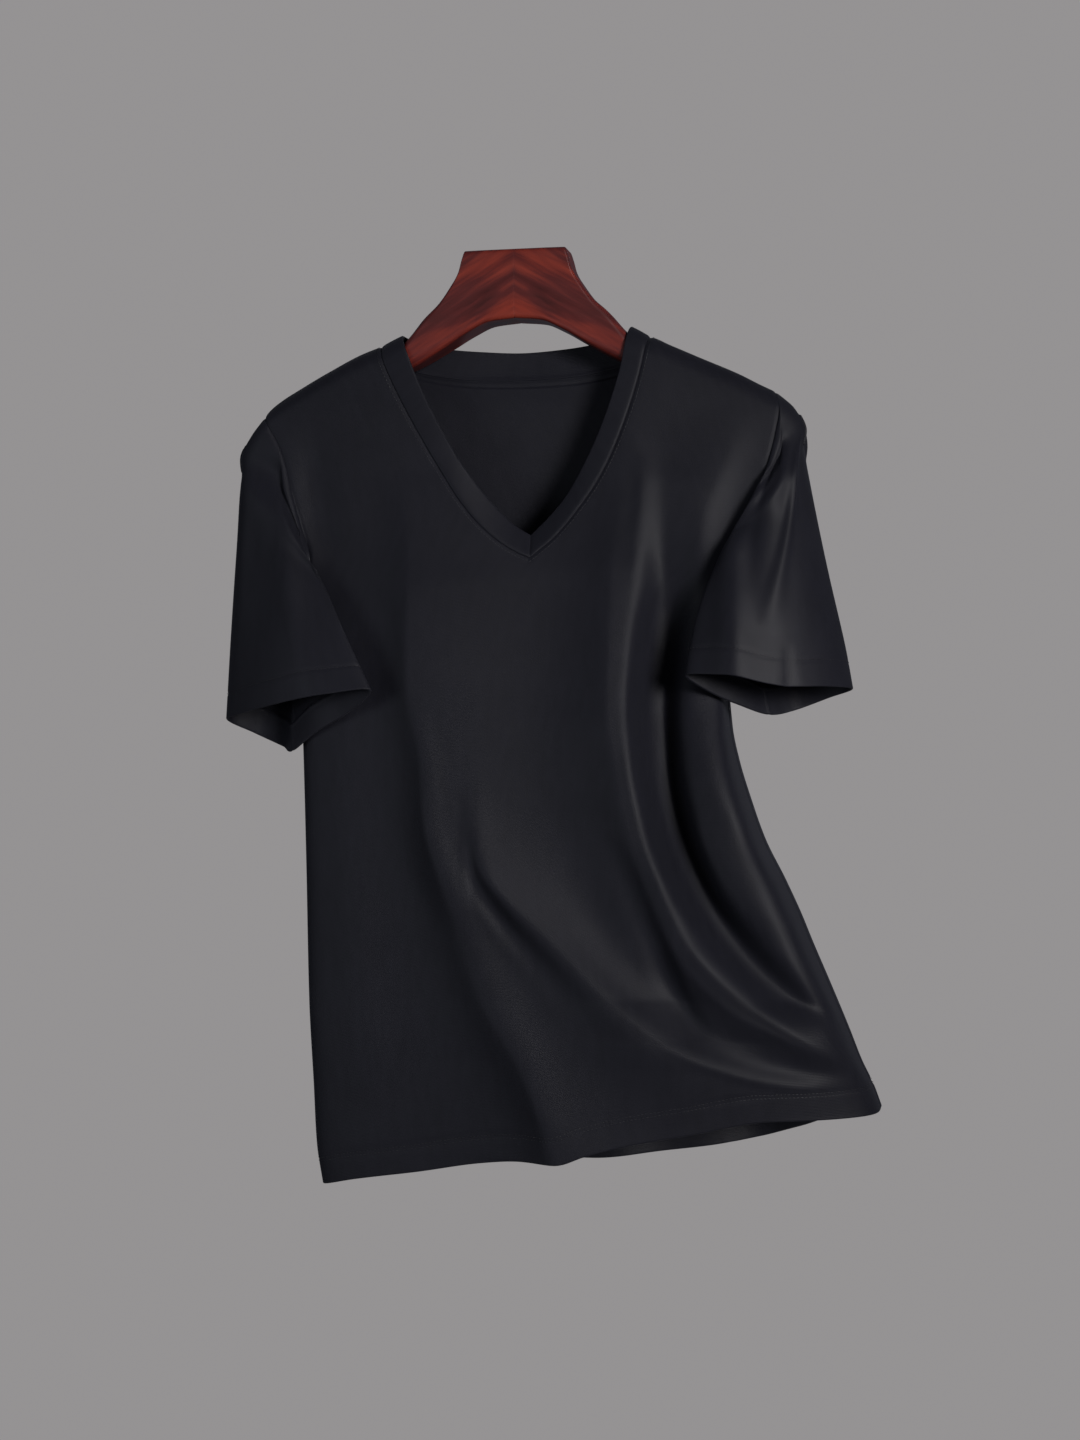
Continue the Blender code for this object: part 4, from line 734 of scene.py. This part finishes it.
def front_cloth(mat):
    rows = front_rows()
    point_u, point_v = V_SHARE
    is_open = rows > point_v + TINY
    split = [np.where(is_open, neck_share(rows, side), point_u)[:, None] for side in (-1, 1)]
    part = smooth((rows - point_v + V_BLEND) / V_BLEND)[:, None]
    count_l, count_r = FRONT_COLUMNS
    left, left_open = (
        columns(-1, 0.0, point_u, count_l, True, far, (1, 0)) for far in (False, True))
    right, right_open = (
        columns(-1, point_u, 1.0, count_r, near, True, (0, 1)) for near in (False, True))
    u_l = (left + (left_open - left) * part) * split[0]
    u_r = split[1] + (right + (right_open - right) * part) * (1 - split[1])
    u = np.concatenate([u_l, u_r], axis=1)
    cut = u_l.shape[1]
    index = np.arange(u.size).reshape(u.shape)
    index[~is_open, cut] = index[~is_open, cut - 1]
    normal, middle, uv = panel_grid(u, slant(u, rows[:, None]), -1)
    quads = np.concatenate([grid_quads(index[:, :cut]), grid_quads(index[:, cut:])])
    neck = np.concatenate([middle[is_open, cut - 1][::-1], middle[is_open, cut]])
    seams = middle[:, 0], middle[:, -1], neck, middle[-1, :cut], middle[-1, cut:]
    return panel("shirt_front", middle, normal, seams, quads, uv, mat)


def compact(quads, count):
    """Renumber quads after dropping points that none of them uses."""
    used = np.zeros(count, bool)
    used[quads.ravel()] = True
    new = np.cumsum(used) - 1
    return new[quads], used


def back_cloth(mat):
    gap, top = BACK_GAPS
    over = top_rows(top)
    rows = np.concatenate([hem_rows(gap), rows_between(UNDERARM, over[0], gap), over])
    u, v = np.meshgrid(columns(1, 0.0, 1.0, BACK_COLUMNS, True, True, (1, 1)), rows)
    flat = ROLL / TALL * np.linspace(1, 0, len(over) - len(EDGE_STEPS) + 1)[:-1]
    flat = 1 - np.concatenate([np.maximum(flat, (EDGE_STEPS[-1] + NECK_GAP) / TALL),
                               np.array(EDGE_STEPS[::-1]) / TALL])
    x_top = mix(EDGE_LEFT[-1][1], EDGE_RIGHT[-1][1], u[-len(over):])
    in_neck = smooth(along(NECK_BACK, 1, x_top) / NECK_EASE)
    v[-len(over):] = mix(v[-len(over):], flat[:, None], in_neck)
    normal, middle, uv = panel_grid(u, v, 1)
    quads = grid_quads(np.arange(u.size).reshape(u.shape))
    seams = middle[:, 0], middle[:, -1], middle[-1]
    return panel("shirt_back", middle, normal, seams, quads, uv, mat)


# ---------------------------------------------------------------- sleeves

def armhole(side):
    """The armhole seam as a loop: points, outward direction, direction away from the panel,
    and each point's share of the sleeve's ring."""
    over = top_rows(ARM_GAPS[1])
    v = np.concatenate([rows_between(UNDERARM, over[0], ARM_GAPS[0]), over])
    front, behind = v[::-1], v[1:-1]
    parts = []
    for w, face in ((front, -1), (behind, 1)):
        one = np.full(w.shape, 0.0 if side < 0 else 1.0)
        at, normal = body(one, w, face), seam_normals(one, w, face)
        low, high = (body(one, np.clip(w + d, UNDERARM, 1), face) for d in (-ARM_NUDGE, ARM_NUDGE))
        off = unit(np.cross(normal, high - low))
        inward = body(np.abs(one - ARM_IN), w, face) - at
        off = -off * np.sign(np.sum(off * inward, axis=1, keepdims=True) + ZERO)
        parts.append((at, normal, off))
    points, normal, away = (np.concatenate(p) for p in zip(*parts))
    run = run_of(np.concatenate([points, points[:1]]))
    low = len(front) - 1
    lift = np.interp(np.abs(run[:-1] - run[low]), *UNDER_LIFT)[:, None]
    away = unit(mix(away, np.array([0.0, 0.0, 1.0]), lift))
    edge = EDGE_LEFT if side < 0 else EDGE_RIGHT
    tip = (TIP_HEIGHT[side] - edge[0][0]) / (edge[-1][0] - edge[0][0])
    keys = [0.0, run[int(np.argmin(np.abs(front - tip)))], run[low], run[-1]]
    return points, normal, away, np.interp(run[:-1], keys, [0.0, TIP, UNDER, 1.0])


def loop_through(table, shares):
    """A smooth closed loop through a cuff table's points."""
    k = np.array(column(table, 0))
    p = np.array([row[1:] for row in table] * 3)
    k = np.concatenate([k - 1, k, k + 1])
    i = np.searchsorted(k, shares, side="right") - 1
    slopes = [(p[j + 1] - p[j - 1]) / (k[j + 1] - k[j - 1])[:, None] for j in (i, i + 1)]
    span = (k[i + 1] - k[i])[:, None]
    return hermite((shares - k[i])[:, None] / span, span, p[i], slopes[0], p[i + 1], slopes[1])


def bump(shares, centre, wide):
    """1 at a place round a ring, and 0 from wide on either side of it."""
    return smooth(1 - np.abs((shares - centre + 0.5) % 1.0 - 0.5) / wide)


def window(x, start, rise, end, fall):
    """1 between start and end, with soft ends inside them."""
    return smooth((x - start) / rise) * smooth((end - x) / fall)


def sleeve_rings(side):
    """The sleeve's outer face: rings from the armhole to the cuff."""
    table = SLEEVE_LEFT if side < 0 else SLEEVE_RIGHT
    hole, hole_n, away, shares = armhole(side)
    cuff = loop_through(CUFF_LEFT if side < 0 else CUFF_RIGHT, shares)
    outer, tip = bump(shares, 0.0, OUTER_WIDE), bump(shares, TIP, TIP_WIDE)
    front, behind = hill(shares, 0, TIP) ** 2, hill(shares, UNDER, 1) ** 2
    over, cap = window(shares, *FOLDED_OVER), window(shares, *CAPPED)
    at = CREASE_AT * (1 - CREASE_CLIMB * shares / TIP)
    near = hill(shares, *IN_FRONT) * (shares < IN_FRONT[1])
    close = np.array(EDGE_STEPS) / SLEEVE_LONG
    down = np.unique(np.concatenate([
        close, np.linspace(close[-1], 1 - close[-1], SLEEVE_RINGS), 1 - close]))
    rings = []
    for s in down:
        ring = mix(hole, cuff, s)
        up, past, reach = (float(along(rows, c, s)) for rows, c in (
            (CURL, 1), (CURL, 2), (CAP_REACH, 1)))
        ring += (hole_n * up + away * past) * over[:, None] + away * (reach * cap)[:, None]
        ring[:, 0] += side * (along(table, 1, s) * outer - along(table, 4, s) * tip)
        ring[:, 1] += along(table, 3, s) * behind - along(table, 2, s) * front
        crease = CREASE_DEEP * groove(s - at, CREASE_WIDE)
        swell = SWELL_OUT * groove(s - at - SWELL_AT + CREASE_AT, SWELL_WIDE)
        ring[:, 1] += (crease - swell) * near * smooth(s / CAP_EASE)
        rings.append(ring)
    return np.array(rings), hole_n, shares, down


def loop_normals(grid):
    """Directions square to rings of points."""
    du = np.roll(grid, -1, axis=1) - np.roll(grid, 1, axis=1)
    return unit(np.cross(du, np.gradient(grid, axis=0)))


def sleeve_cloth(name, side, mat):
    """A sleeve, and the line round it that its hem is stitched along."""
    grid, hole_n, shares, down = sleeve_rings(side)
    normal = loop_normals(grid)
    if np.mean(np.sum(normal[slice(*FIRST_RINGS)] * hole_n, axis=2)) < 0:
        normal = -normal
    normal = sleeve_creases(grid, normal, shares, down, side)
    normal = unit(mix(normal, hole_n, smooth(1 - down / HOLE_EASE)[:, None, None]))
    middle = grid - normal * FACE
    lengths = np.linalg.norm(np.diff(middle, axis=0), axis=2)
    from_hole = np.concatenate([np.zeros((1, grid.shape[1])), np.cumsum(lengths, axis=0)])
    hem = from_hole[-1] - from_hole
    under = np.abs(shares - UNDER) * SLEEVE_ROUND + NO_SEAM * (down[:, None] < UNDER_END)
    m, n = middle.reshape(-1, 3), normal.reshape(-1, 3)
    hole_off, hem_off = from_hole.ravel(), hem.ravel()
    outer, inner = cloth_walls(hem_off, np.minimum(hole_off, hem_off))
    quads = grid_quads(np.arange(hem.size).reshape(hem.shape), True)
    round_it = np.linspace(0, CUT_ROUND, grid.shape[1] + 1)
    corners = ring_corners(round_it, np.append(from_hole, from_hole[:, :1], axis=1))
    m = sew(m, n, np.minimum(hole_off, under.ravel()), hem_off)
    obj = shell(name, m, n, outer, inner, quads, corners, mat)
    line = np.array([
        [np.interp(HEM_UP, hem[::-1, c], middle[::-1, c, k]) for k in range(3)]
        for c in range(grid.shape[1])
    ])
    line = line + normal[int(len(down) * CUFF_RING)] * CLOTH / 2
    return obj, np.concatenate([line, line[:1]])


def sleeve_creases(grid, normal, shares, down, side):
    """Fine creases pressed into a sleeve's rings, in place; gives the new outward directions."""
    for line in (SLEEVE_FINE_LEFT if side < 0 else SLEEVE_FINE_RIGHT).values():
        start, end = line[0][0], line[-1][0]
        where, deep, wide = (along(line, c, np.clip(down, start, end)) for c in (1, 2, 3))
        deep = deep * smooth((down - start) / CREASE_EASE)
        if end < 1:
            deep = deep * smooth((end - down) / CREASE_EASE)
        off = ((shares - where[:, None] + 0.5) % 1.0 - 0.5) * SLEEVE_ROUND
        grid += normal * (deep[:, None] * groove(off, wide[:, None]))[..., None]
    new = loop_normals(grid)
    return new * np.sign(np.sum(new * normal, axis=2, keepdims=True))


# ---------------------------------------------------------------- neckband

def front_seam(side):
    """The front's neck edge, V to collar, and the cloth's direction there."""
    v = front_rows()
    v = v[v > V_SHARE[1] - TINY]
    u = np.where(v > V_SHARE[1] + TINY, neck_share(v, side), V_SHARE[0])
    return body(u, v, -1), seam_normals(u, v, -1)


def back_seam():
    """The back's neck edge, left collar point to right."""
    left, right = EDGE_LEFT[-1][1], EDGE_RIGHT[-1][1]
    n0, n1 = ((NECK_BACK[i][0] - left) / (right - left) for i in (0, -1))
    t = np.linspace(0, 1, BACK_NECK_STEPS + 1)
    u = n0 + (n1 - n0) * mix((1 - np.cos(math.pi * t)) / 2, t, NECK_EVEN)
    v = np.ones(len(u))
    return body(u, v, 1), seam_normals(u, v, 1)


def beside(points, seam):
    """Points along a line, each at the same share of it as the seam's points."""
    run, at = run_of(points), run_of(seam)
    at = at / at[-1] * run[-1]
    return np.stack([np.interp(at, run, points[:, c]) for c in range(3)], axis=-1)


def drawn(table):
    """A smooth line through a table's points, column by column."""
    t, fine = np.linspace(0, 1, len(table)), np.linspace(0, 1, LINE_FINE)
    return [curve(t, column(table, c), fine) for c in range(len(table[0]))]


def neckband_rails():
    """Seam edge, free edge and outward direction, once round from the V."""
    edges = []
    for side, table in ((-1, BAND_LEFT), (1, BAND_RIGHT)):
        seam, normal = front_seam(side)
        x, z = drawn(table)
        down = table[-1][1] - z
        free = np.stack([x, -(roll(down) + BAND_LEAN * smooth(down / LEAN_RUN)), z], -1)
        edges.append((seam, beside(free, seam), normal))
    seam, normal = back_seam()
    behind = seam, beside(np.stack(drawn(BAND_BACK), -1), seam), normal
    left, right = edges
    return [np.concatenate([a[:-1], b[:-1], c[:0:-1]]) for a, b, c in zip(left, behind, right)]


def neckband_cloth(mat):
    seam, free, normal = neckband_rails()
    run = np.roll(seam, -1, axis=0) - np.roll(seam, 1, axis=0)
    out = unit(np.cross(run, free - seam))
    out *= np.sign(np.sum(out * normal, axis=1, keepdims=True))
    wide = float(np.linalg.norm(free - seam, axis=1).mean())
    t = steps(wide, BAND_ROWS)[:, None] / wide
    n = unit(mix(normal, out, smooth(t / BAND_TURN)[..., None]))
    bulge = BAND_BULGE * hill(t, 0, 1) ** 0.5 - FACE - BAND_SET
    length = run_of(np.concatenate([seam, seam[:1]]))
    mitre = np.minimum(length[:-1], length[-1] - length[:-1])
    deep = SEAM_DIP * groove(t * wide, SEAM_WIDE) + MITRE_DEEP * groove(mitre, MITRE_WIDE)
    deep = deep * np.clip(BAND_FADE * (1 - t), 0, 1)
    middle = seam + (free - seam) * t[..., None] + n * (bulge - deep)[..., None]
    edge = np.broadcast_to(np.minimum(t, 1 - t) * wide, deep.shape)
    half = (BAND / 2 * rounding(BAND, edge)).ravel()
    quads = grid_quads(np.arange(edge.size).reshape(edge.shape), True)
    return shell("neckband_cloth", middle.reshape(-1, 3), n.reshape(-1, 3), half, half, quads,
                 ring_corners(length, t * wide), mat)


# ---------------------------------------------------------------- hanger

def hanger_top(x):
    """The top's height: as drawn, then under the shoulder's cloth, and rounded at the tip."""
    a, start = abs(x), HANGER_UNDER_CLOTH + HANGER_MEET
    if a <= HANGER_UNDER_CLOTH:
        return float(along(HANGER_TOP, 1, a))
    top, meet = (float(along(SHOULDER, 1, at)) - HANGER_CLEAR for at in (x, math.copysign(start, x)))
    if a < start:
        share = smooth((a - HANGER_UNDER_CLOTH) / HANGER_MEET)
        top = min(top, HANGER_TOP[-1][1] + (meet - HANGER_TOP[-1][1]) * share)
    return top - TIP_DROP * smooth(a - HANGER_TIP) ** 2


def hanger_section(x):
    """The hanger's outline in y and z at a place along it, corners rounded."""
    top = hanger_top(x)
    low, half, edge = (float(along(HANGER_BODY, c, abs(x))) for c in (1, 2, 3))
    edge = min(edge, half * EDGE_MOST[0], (top - low) * EDGE_MOST[1])
    joint = JOINT_DEEP * groove(x, JOINT_WIDE)
    half, top, low = half - joint - edge, top - joint - edge, low + joint + edge
    arcs = []
    for k, (y, z) in enumerate(((half, top), (-half, top), (-half, low), (half, low))):
        turns = np.linspace(k / 2, (k + 1) / 2, CORNER_STEPS + 1) * math.pi
        arcs.append([np.array((x, y + edge * math.cos(t), z + edge * math.sin(t))) for t in turns])
    ring = []
    for arc, after in zip(arcs, arcs[1:] + arcs[:1]):
        ring += arc + [mix(arc[-1], after[0], share) for share in FLAT_CUTS]
    return ring


def hanger_wood(mat):
    arm = np.concatenate([HANGER_NEAR, *(np.arange(*cut) for cut in HANGER_CUTS),
                          np.linspace(HANGER_CUTS[-1][1], HANGER_END, TIP_CUTS)])
    arm = np.unique(np.round(arm, 4))
    rings = np.array([hanger_section(float(x)) for x in np.concatenate([-arm[:0:-1], arm])])
    rows, n = rings.shape[:2]
    quads = grid_quads(np.arange(rows * n).reshape(rows, n), True)
    faces = quads.tolist() + [list(range(n))[::-1], list(range((rows - 1) * n, rows * n))]
    return make_object("hanger_wood", rings.reshape(-1, 3), faces, mat)


# ---------------------------------------------------------------- nodes

def fill(tree, node, sockets):
    """Set a node's inputs, by name or number, to values or to other nodes' outputs."""
    for key, value in sockets.items():
        if isinstance(value, bpy.types.NodeSocket):
            tree.links.new(value, node.inputs[key])
        else:
            node.inputs[key].default_value = value
    return node


def add_node(tree, kind, sockets):
    return fill(tree, tree.nodes.new(kind), sockets)


def calc(tree, operation, a, b=0.5):
    """A math node's result."""
    node = tree.nodes.new("ShaderNodeMath")
    node.operation = operation
    return fill(tree, node, {0: a, 1: b}).outputs[0]


def noise(tree, vector, scale, detail, distortion=0.0):
    return add_node(tree, "ShaderNodeTexNoise", {
        "Vector": vector, "Scale": scale, "Detail": detail, "Distortion": distortion,
    }).outputs["Fac"]


def tones(tree, factor, first, last, between=()):
    """A colour ramp's colour; each stop is a place and a colour."""
    node = add_node(tree, "ShaderNodeValToRGB", {"Fac": factor})
    stops = node.color_ramp.elements
    for stop, (place_on, colour) in ((stops[0], first), (stops[1], last)):
        stop.position, stop.color = place_on, (*colour, 1.0)
    for place_on, colour in between:
        stops.new(place_on).color = (*colour, 1.0)
    return node.outputs["Color"]


def bump_map(tree, height, strength, distance):
    return add_node(tree, "ShaderNodeBump", {
        "Height": height, "Strength": strength, "Distance": distance}).outputs["Normal"]


# ---------------------------------------------------------------- stitches

def stitch_tree(mat):
    """A node tree that lays round-ended stitches end to end along a curve."""
    tree = bpy.data.node_groups.new("stitch_row", "GeometryNodeTree")
    for way in ("INPUT", "OUTPUT"):
        tree.interface.new_socket("Geometry", in_out=way, socket_type="NodeSocketGeometry")
    for label, value in STITCH.items():
        sock = tree.interface.new_socket(label, in_out="INPUT", socket_type="NodeSocketFloat")
        sock.default_value = value
    given = tree.nodes.new("NodeGroupInput").outputs
    places = tree.nodes.new("GeometryNodeCurveToPoints")
    places.mode = "LENGTH"
    fill(tree, places, {"Curve": given["Geometry"], "Length": given["Pitch"]})
    thread = add_node(tree, "GeometryNodeMeshUVSphere", {"Segments": 6, "Rings": 5, "Radius": 1.0})
    size = add_node(tree, "ShaderNodeCombineXYZ", {
        "X": given["Thread radius"], "Y": given["Thread radius"],
        "Z": calc(tree, "MULTIPLY", given["Length"], 0.5)})
    lay = add_node(tree, "GeometryNodeInstanceOnPoints", {
        "Points": places.outputs["Points"], "Rotation": places.outputs["Rotation"],
        "Instance": thread.outputs["Mesh"], "Scale": size.outputs["Vector"]})
    real = add_node(tree, "GeometryNodeRealizeInstances", {"Geometry": lay.outputs["Instances"]})
    paint = add_node(tree, "GeometryNodeSetMaterial", {
        "Geometry": real.outputs["Geometry"], "Material": mat})
    add_node(tree, "NodeGroupOutput", {"Geometry": paint.outputs["Geometry"]})
    return tree


def stitches(name, lines, tree):
    """One mesh of stitches along lines of points in centimetres."""
    data = bpy.data.curves.new(name + "_path", "CURVE")
    data.dimensions = "3D"
    for line in lines:
        spline = data.splines.new("POLY")
        spline.points.add(len(line) - 1)
        flat = np.concatenate([np.asarray(line) * CM, np.ones((len(line), 1))], axis=1)
        spline.points.foreach_set("co", flat.ravel())
    path = place(name + "_path", data)
    path.modifiers.new("stitches", "NODES").node_group = tree
    graph = bpy.context.evaluated_depsgraph_get()
    mesh = bpy.data.meshes.new_from_object(path.evaluated_get(graph), depsgraph=graph)
    mesh.name = name
    mesh.polygons.foreach_set("use_smooth", np.ones(len(mesh.polygons), bool))
    bpy.data.objects.remove(path, do_unlink=True)
    return place(name, mesh)


def hem_line(face, up):
    """A line on a panel, up over its hem."""
    start, end = STITCH_ENDS
    u = columns(face, start, end, STITCH_COLUMNS, False, False, (1, 1)) * (end - start) + start
    v = up / height(u, face)
    return body(u, v, face) - body_normal(u, v, face) * (FACE - CLOTH / 2 - PROUD)


def neck_line(off):
    """A line on the panels beside the neckband's seam."""
    seam, free, normal = neckband_rails()
    away = unit(seam - free)
    away = unit(away - normal * np.sum(away * normal, axis=1, keepdims=True))
    line = seam + away * off - normal * (FACE - CLOTH / 2)
    return np.concatenate([line, line[:1]])


# ---------------------------------------------------------------- materials

def new_material(name):
    """A material, its node tree, its shader, and its coordinates."""
    mat = bpy.data.materials.new(name)
    mat.use_nodes = True
    tree = mat.node_tree
    return mat, tree, tree.nodes["Principled BSDF"], tree.nodes.new("ShaderNodeTexCoord").outputs


def jersey_material():
    """Fine black jersey: rows of knit loops in the bump, faint slubs, a soft satin bloom."""
    mat, tree, shader, where = new_material("cloth_black")
    split = add_node(tree, "ShaderNodeSeparateXYZ", {0: where["UV"]}).outputs
    wale = calc(tree, "MULTIPLY", split["X"], 2 * math.pi / WALE)
    course = calc(tree, "MULTIPLY", split["Y"], 2 * math.pi / COURSE)
    side = calc(tree, "ABSOLUTE", calc(tree, "SINE", wale))
    legs = calc(tree, "ADD", course, calc(tree, "MULTIPLY", side, LOOP_BEND))
    loop = calc(tree, "MULTIPLY", calc(tree, "SINE", legs), 0.5)
    knit = calc(tree, "ADD", loop, side)
    stretch = add_node(tree, "ShaderNodeMapping", {
        "Vector": where["UV"], "Scale": (1.0, 0.25, 1.0)}).outputs["Vector"]
    slub, cloud = noise(tree, stretch, 160.0, 3.0), noise(tree, where["Object"], 9.0, 2.0)
    dye = calc(tree, "MULTIPLY", calc(tree, "ADD", slub, cloud), 0.5)
    fill(tree, shader, {
        "Base Color": tones(tree, dye, (0.3, DYE_DARK), (0.7, DYE_LIGHT)),
        "Roughness": 0.5,
        "Specular IOR Level": 0.11,
        "Sheen Weight": 0.03,
        "Sheen Roughness": 0.45,
        "Sheen Tint": (0.75, 0.78, 0.9, 1.0),
        "Normal": bump_map(tree, knit, 0.35, 0.00012),
    })
    return mat


def thread_material():
    """Thread a little darker than the cloth's light places, its ply in the tone."""
    mat, tree, shader, where = new_material("thread_black")
    ply = noise(tree, where["Object"], 900.0, 2.0)
    light = [c * THREAD_TONE for c in DYE_LIGHT]
    fill(tree, shader, {
        "Base Color": tones(tree, ply, (0.0, DYE_DARK), (1.0, light)), "Roughness": 0.5})
    return mat


def wood_material():
    """Red-brown lacquered wood, its streaks running up each arm to the joint in the middle, with a
    painted highlight lightening the front over the arch.
    """
    mat, tree, shader, where = new_material("wood_mahogany")
    split = add_node(tree, "ShaderNodeSeparateXYZ", {0: where["Object"]}).outputs
    arm = add_node(tree, "ShaderNodeCombineXYZ", {
        "X": calc(tree, "ABSOLUTE", split["X"]), "Y": split["Y"], "Z": split["Z"]}).outputs[0]
    turn = add_node(tree, "ShaderNodeMapping", {
        "Vector": arm, "Rotation": (0.0, math.radians(-GRAIN_SLOPE), 0.0)}).outputs["Vector"]
    layers, shares = [], []
    for scale, detail, long, share in GRAIN:
        squeeze = add_node(tree, "ShaderNodeMapping", {
            "Vector": turn, "Scale": (1.0 / long, 1.0, 1.0)}).outputs["Vector"]
        layers.append(noise(tree, squeeze, scale, detail, GRAIN_WARP))
        shares.append(calc(tree, "MULTIPLY", layers[-1], share))
    # Painted highlight: the wood is made lighter on the front face over the arch, most at its middle
    # and fading out with the distance from it; the streaks are added on top.
    away = add_node(tree, "ShaderNodeVectorMath", {0: arm, 1: HIGHLIGHT_AT})
    away.operation = "DISTANCE"
    painted_highlight = tree.nodes.new("ShaderNodeMapRange")
    painted_highlight.interpolation_type = "SMOOTHSTEP"
    fill(tree, painted_highlight, {"Value": away.outputs["Value"], "From Max": HIGHLIGHT_REACH,
                      "To Min": HIGHLIGHT_MOST, "To Max": 0.0})
    grain_and_highlight = painted_highlight.outputs["Result"]
    for share in shares:
        grain_and_highlight = calc(tree, "ADD", grain_and_highlight, share)
    fill(tree, shader, {
        "Base Color": tones(tree, grain_and_highlight, (0.38, WOOD_STREAK), (0.64, WOOD_LIGHT), [(0.5, WOOD_RED)]),
        "Roughness": calc(tree, "ADD", calc(tree, "MULTIPLY", layers[1], 0.2), 0.26),
        "Coat Weight": 0.16,
        "Coat Roughness": 0.16,
        "Normal": bump_map(tree, layers[2], 0.12, 0.0003),
    })
    return mat


# ---------------------------------------------------------------- studio

def aim(obj, at, target):
    obj.location = at
    obj.rotation_euler = (Vector(target) - Vector(at)).to_track_quat("-Z", "Y").to_euler()


def soft_light(name, at, size, power, spread, colour):
    data = bpy.data.lights.new(name, "AREA")
    data.shape, data.size, data.energy, data.color = "DISK", size, power, colour
    data.spread = math.radians(spread)
    lamp = place(name, data)
    aim(lamp, at, SHIRT_MIDDLE)
    lamp.visible_glossy = name != "behind"


def pale_floor():
    mesh = bpy.data.meshes.new("floor")
    turns = np.linspace(0, 2 * math.pi, FLOOR_SIDES, endpoint=False)
    ring = [(math.cos(t) * FLOOR_REACH, math.sin(t) * FLOOR_REACH, FLOOR_DOWN) for t in turns]
    mesh.from_pydata(ring, [], [list(range(FLOOR_SIDES))])
    mat, tree, shader, _ = new_material("floor_pale")
    fill(tree, shader, {"Base Color": (0.6, 0.59, 0.57, 1.0), "Roughness": 0.9})
    mesh.materials.append(mat)
    place("floor", mesh)


def studio():
    scene = bpy.context.scene
    data = bpy.data.cameras.new("camera")
    data.lens, data.sensor_width = LENS, SENSOR
    scene.camera = place("camera", data)
    turn = math.radians(CAMERA_TURN)
    back = Vector((math.sin(turn), -math.cos(turn), 0)) * CAMERA_FAR
    aim(scene.camera, Vector(CAMERA_TO) + back, CAMERA_TO)
    scene.view_settings.view_transform = "Standard"
    scene.world = bpy.data.worlds.new("studio")
    scene.world.use_nodes = True
    tree = scene.world.node_tree
    seen = fill(tree, tree.nodes["Background"], {"Color": (*ROOM, 1.0)})
    light = add_node(tree, "ShaderNodeBackground", {"Color": (*ROOM_LIGHT, 1.0)})
    path = tree.nodes.new("ShaderNodeLightPath").outputs
    both = add_node(tree, "ShaderNodeMixShader", {
        "Fac": path["Is Camera Ray"], 1: light.outputs[0], 2: seen.outputs[0]})
    fill(tree, tree.nodes["World Output"], {"Surface": both.outputs[0]})
    for row in LIGHTS:
        soft_light(*row)
    pale_floor()


# ---------------------------------------------------------------- build

def build():
    jersey, thread, wood = jersey_material(), thread_material(), wood_material()
    front, back = front_cloth(jersey), back_cloth(jersey)
    left, left_line = sleeve_cloth("sleeve_left_cloth", -1, jersey)
    right, right_line = sleeve_cloth("sleeve_right_cloth", 1, jersey)
    band = neckband_cloth(jersey)
    hanger = hanger_wood(wood)
    tree = stitch_tree(thread)
    hem_f = stitches("hem_stitches_front", [hem_line(-1, up) for up in HEM_ROWS], tree)
    hem_b = stitches("hem_stitches_back", [hem_line(1, up) for up in HEM_ROWS], tree)
    cuff_l = stitches("cuff_stitches_left", [left_line], tree)
    cuff_r = stitches("cuff_stitches_right", [right_line], tree)
    neck = stitches("neck_stitches", [neck_line(NECK_ROW)], tree)
    sheets = (
        (front, "front_panel", (0.50, 0.66), 0.25, ["hanger"], [hem_f, neck]),
        (back, "back_panel", (0.50, 0.67), 0.24, ["hanger"], [hem_b]),
        (left, "sleeve_left", (0.36, 0.25), 0.05, ["shirt_front", "shirt_back"], [cuff_l]),
        (right, "sleeve_right", (0.36, 0.25), 0.05, ["shirt_front", "shirt_back"], [cuff_r]),
        (band, "neckband", (0.67, 0.019), None, ["shirt_front", "shirt_back"], []),
    )
    for piece, node, flat, area, on, extra in sheets:
        for obj in [piece, *extra]:
            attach(obj, "root")
        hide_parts(node)
    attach(hanger, "root")
    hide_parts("hanger")


build()
studio()
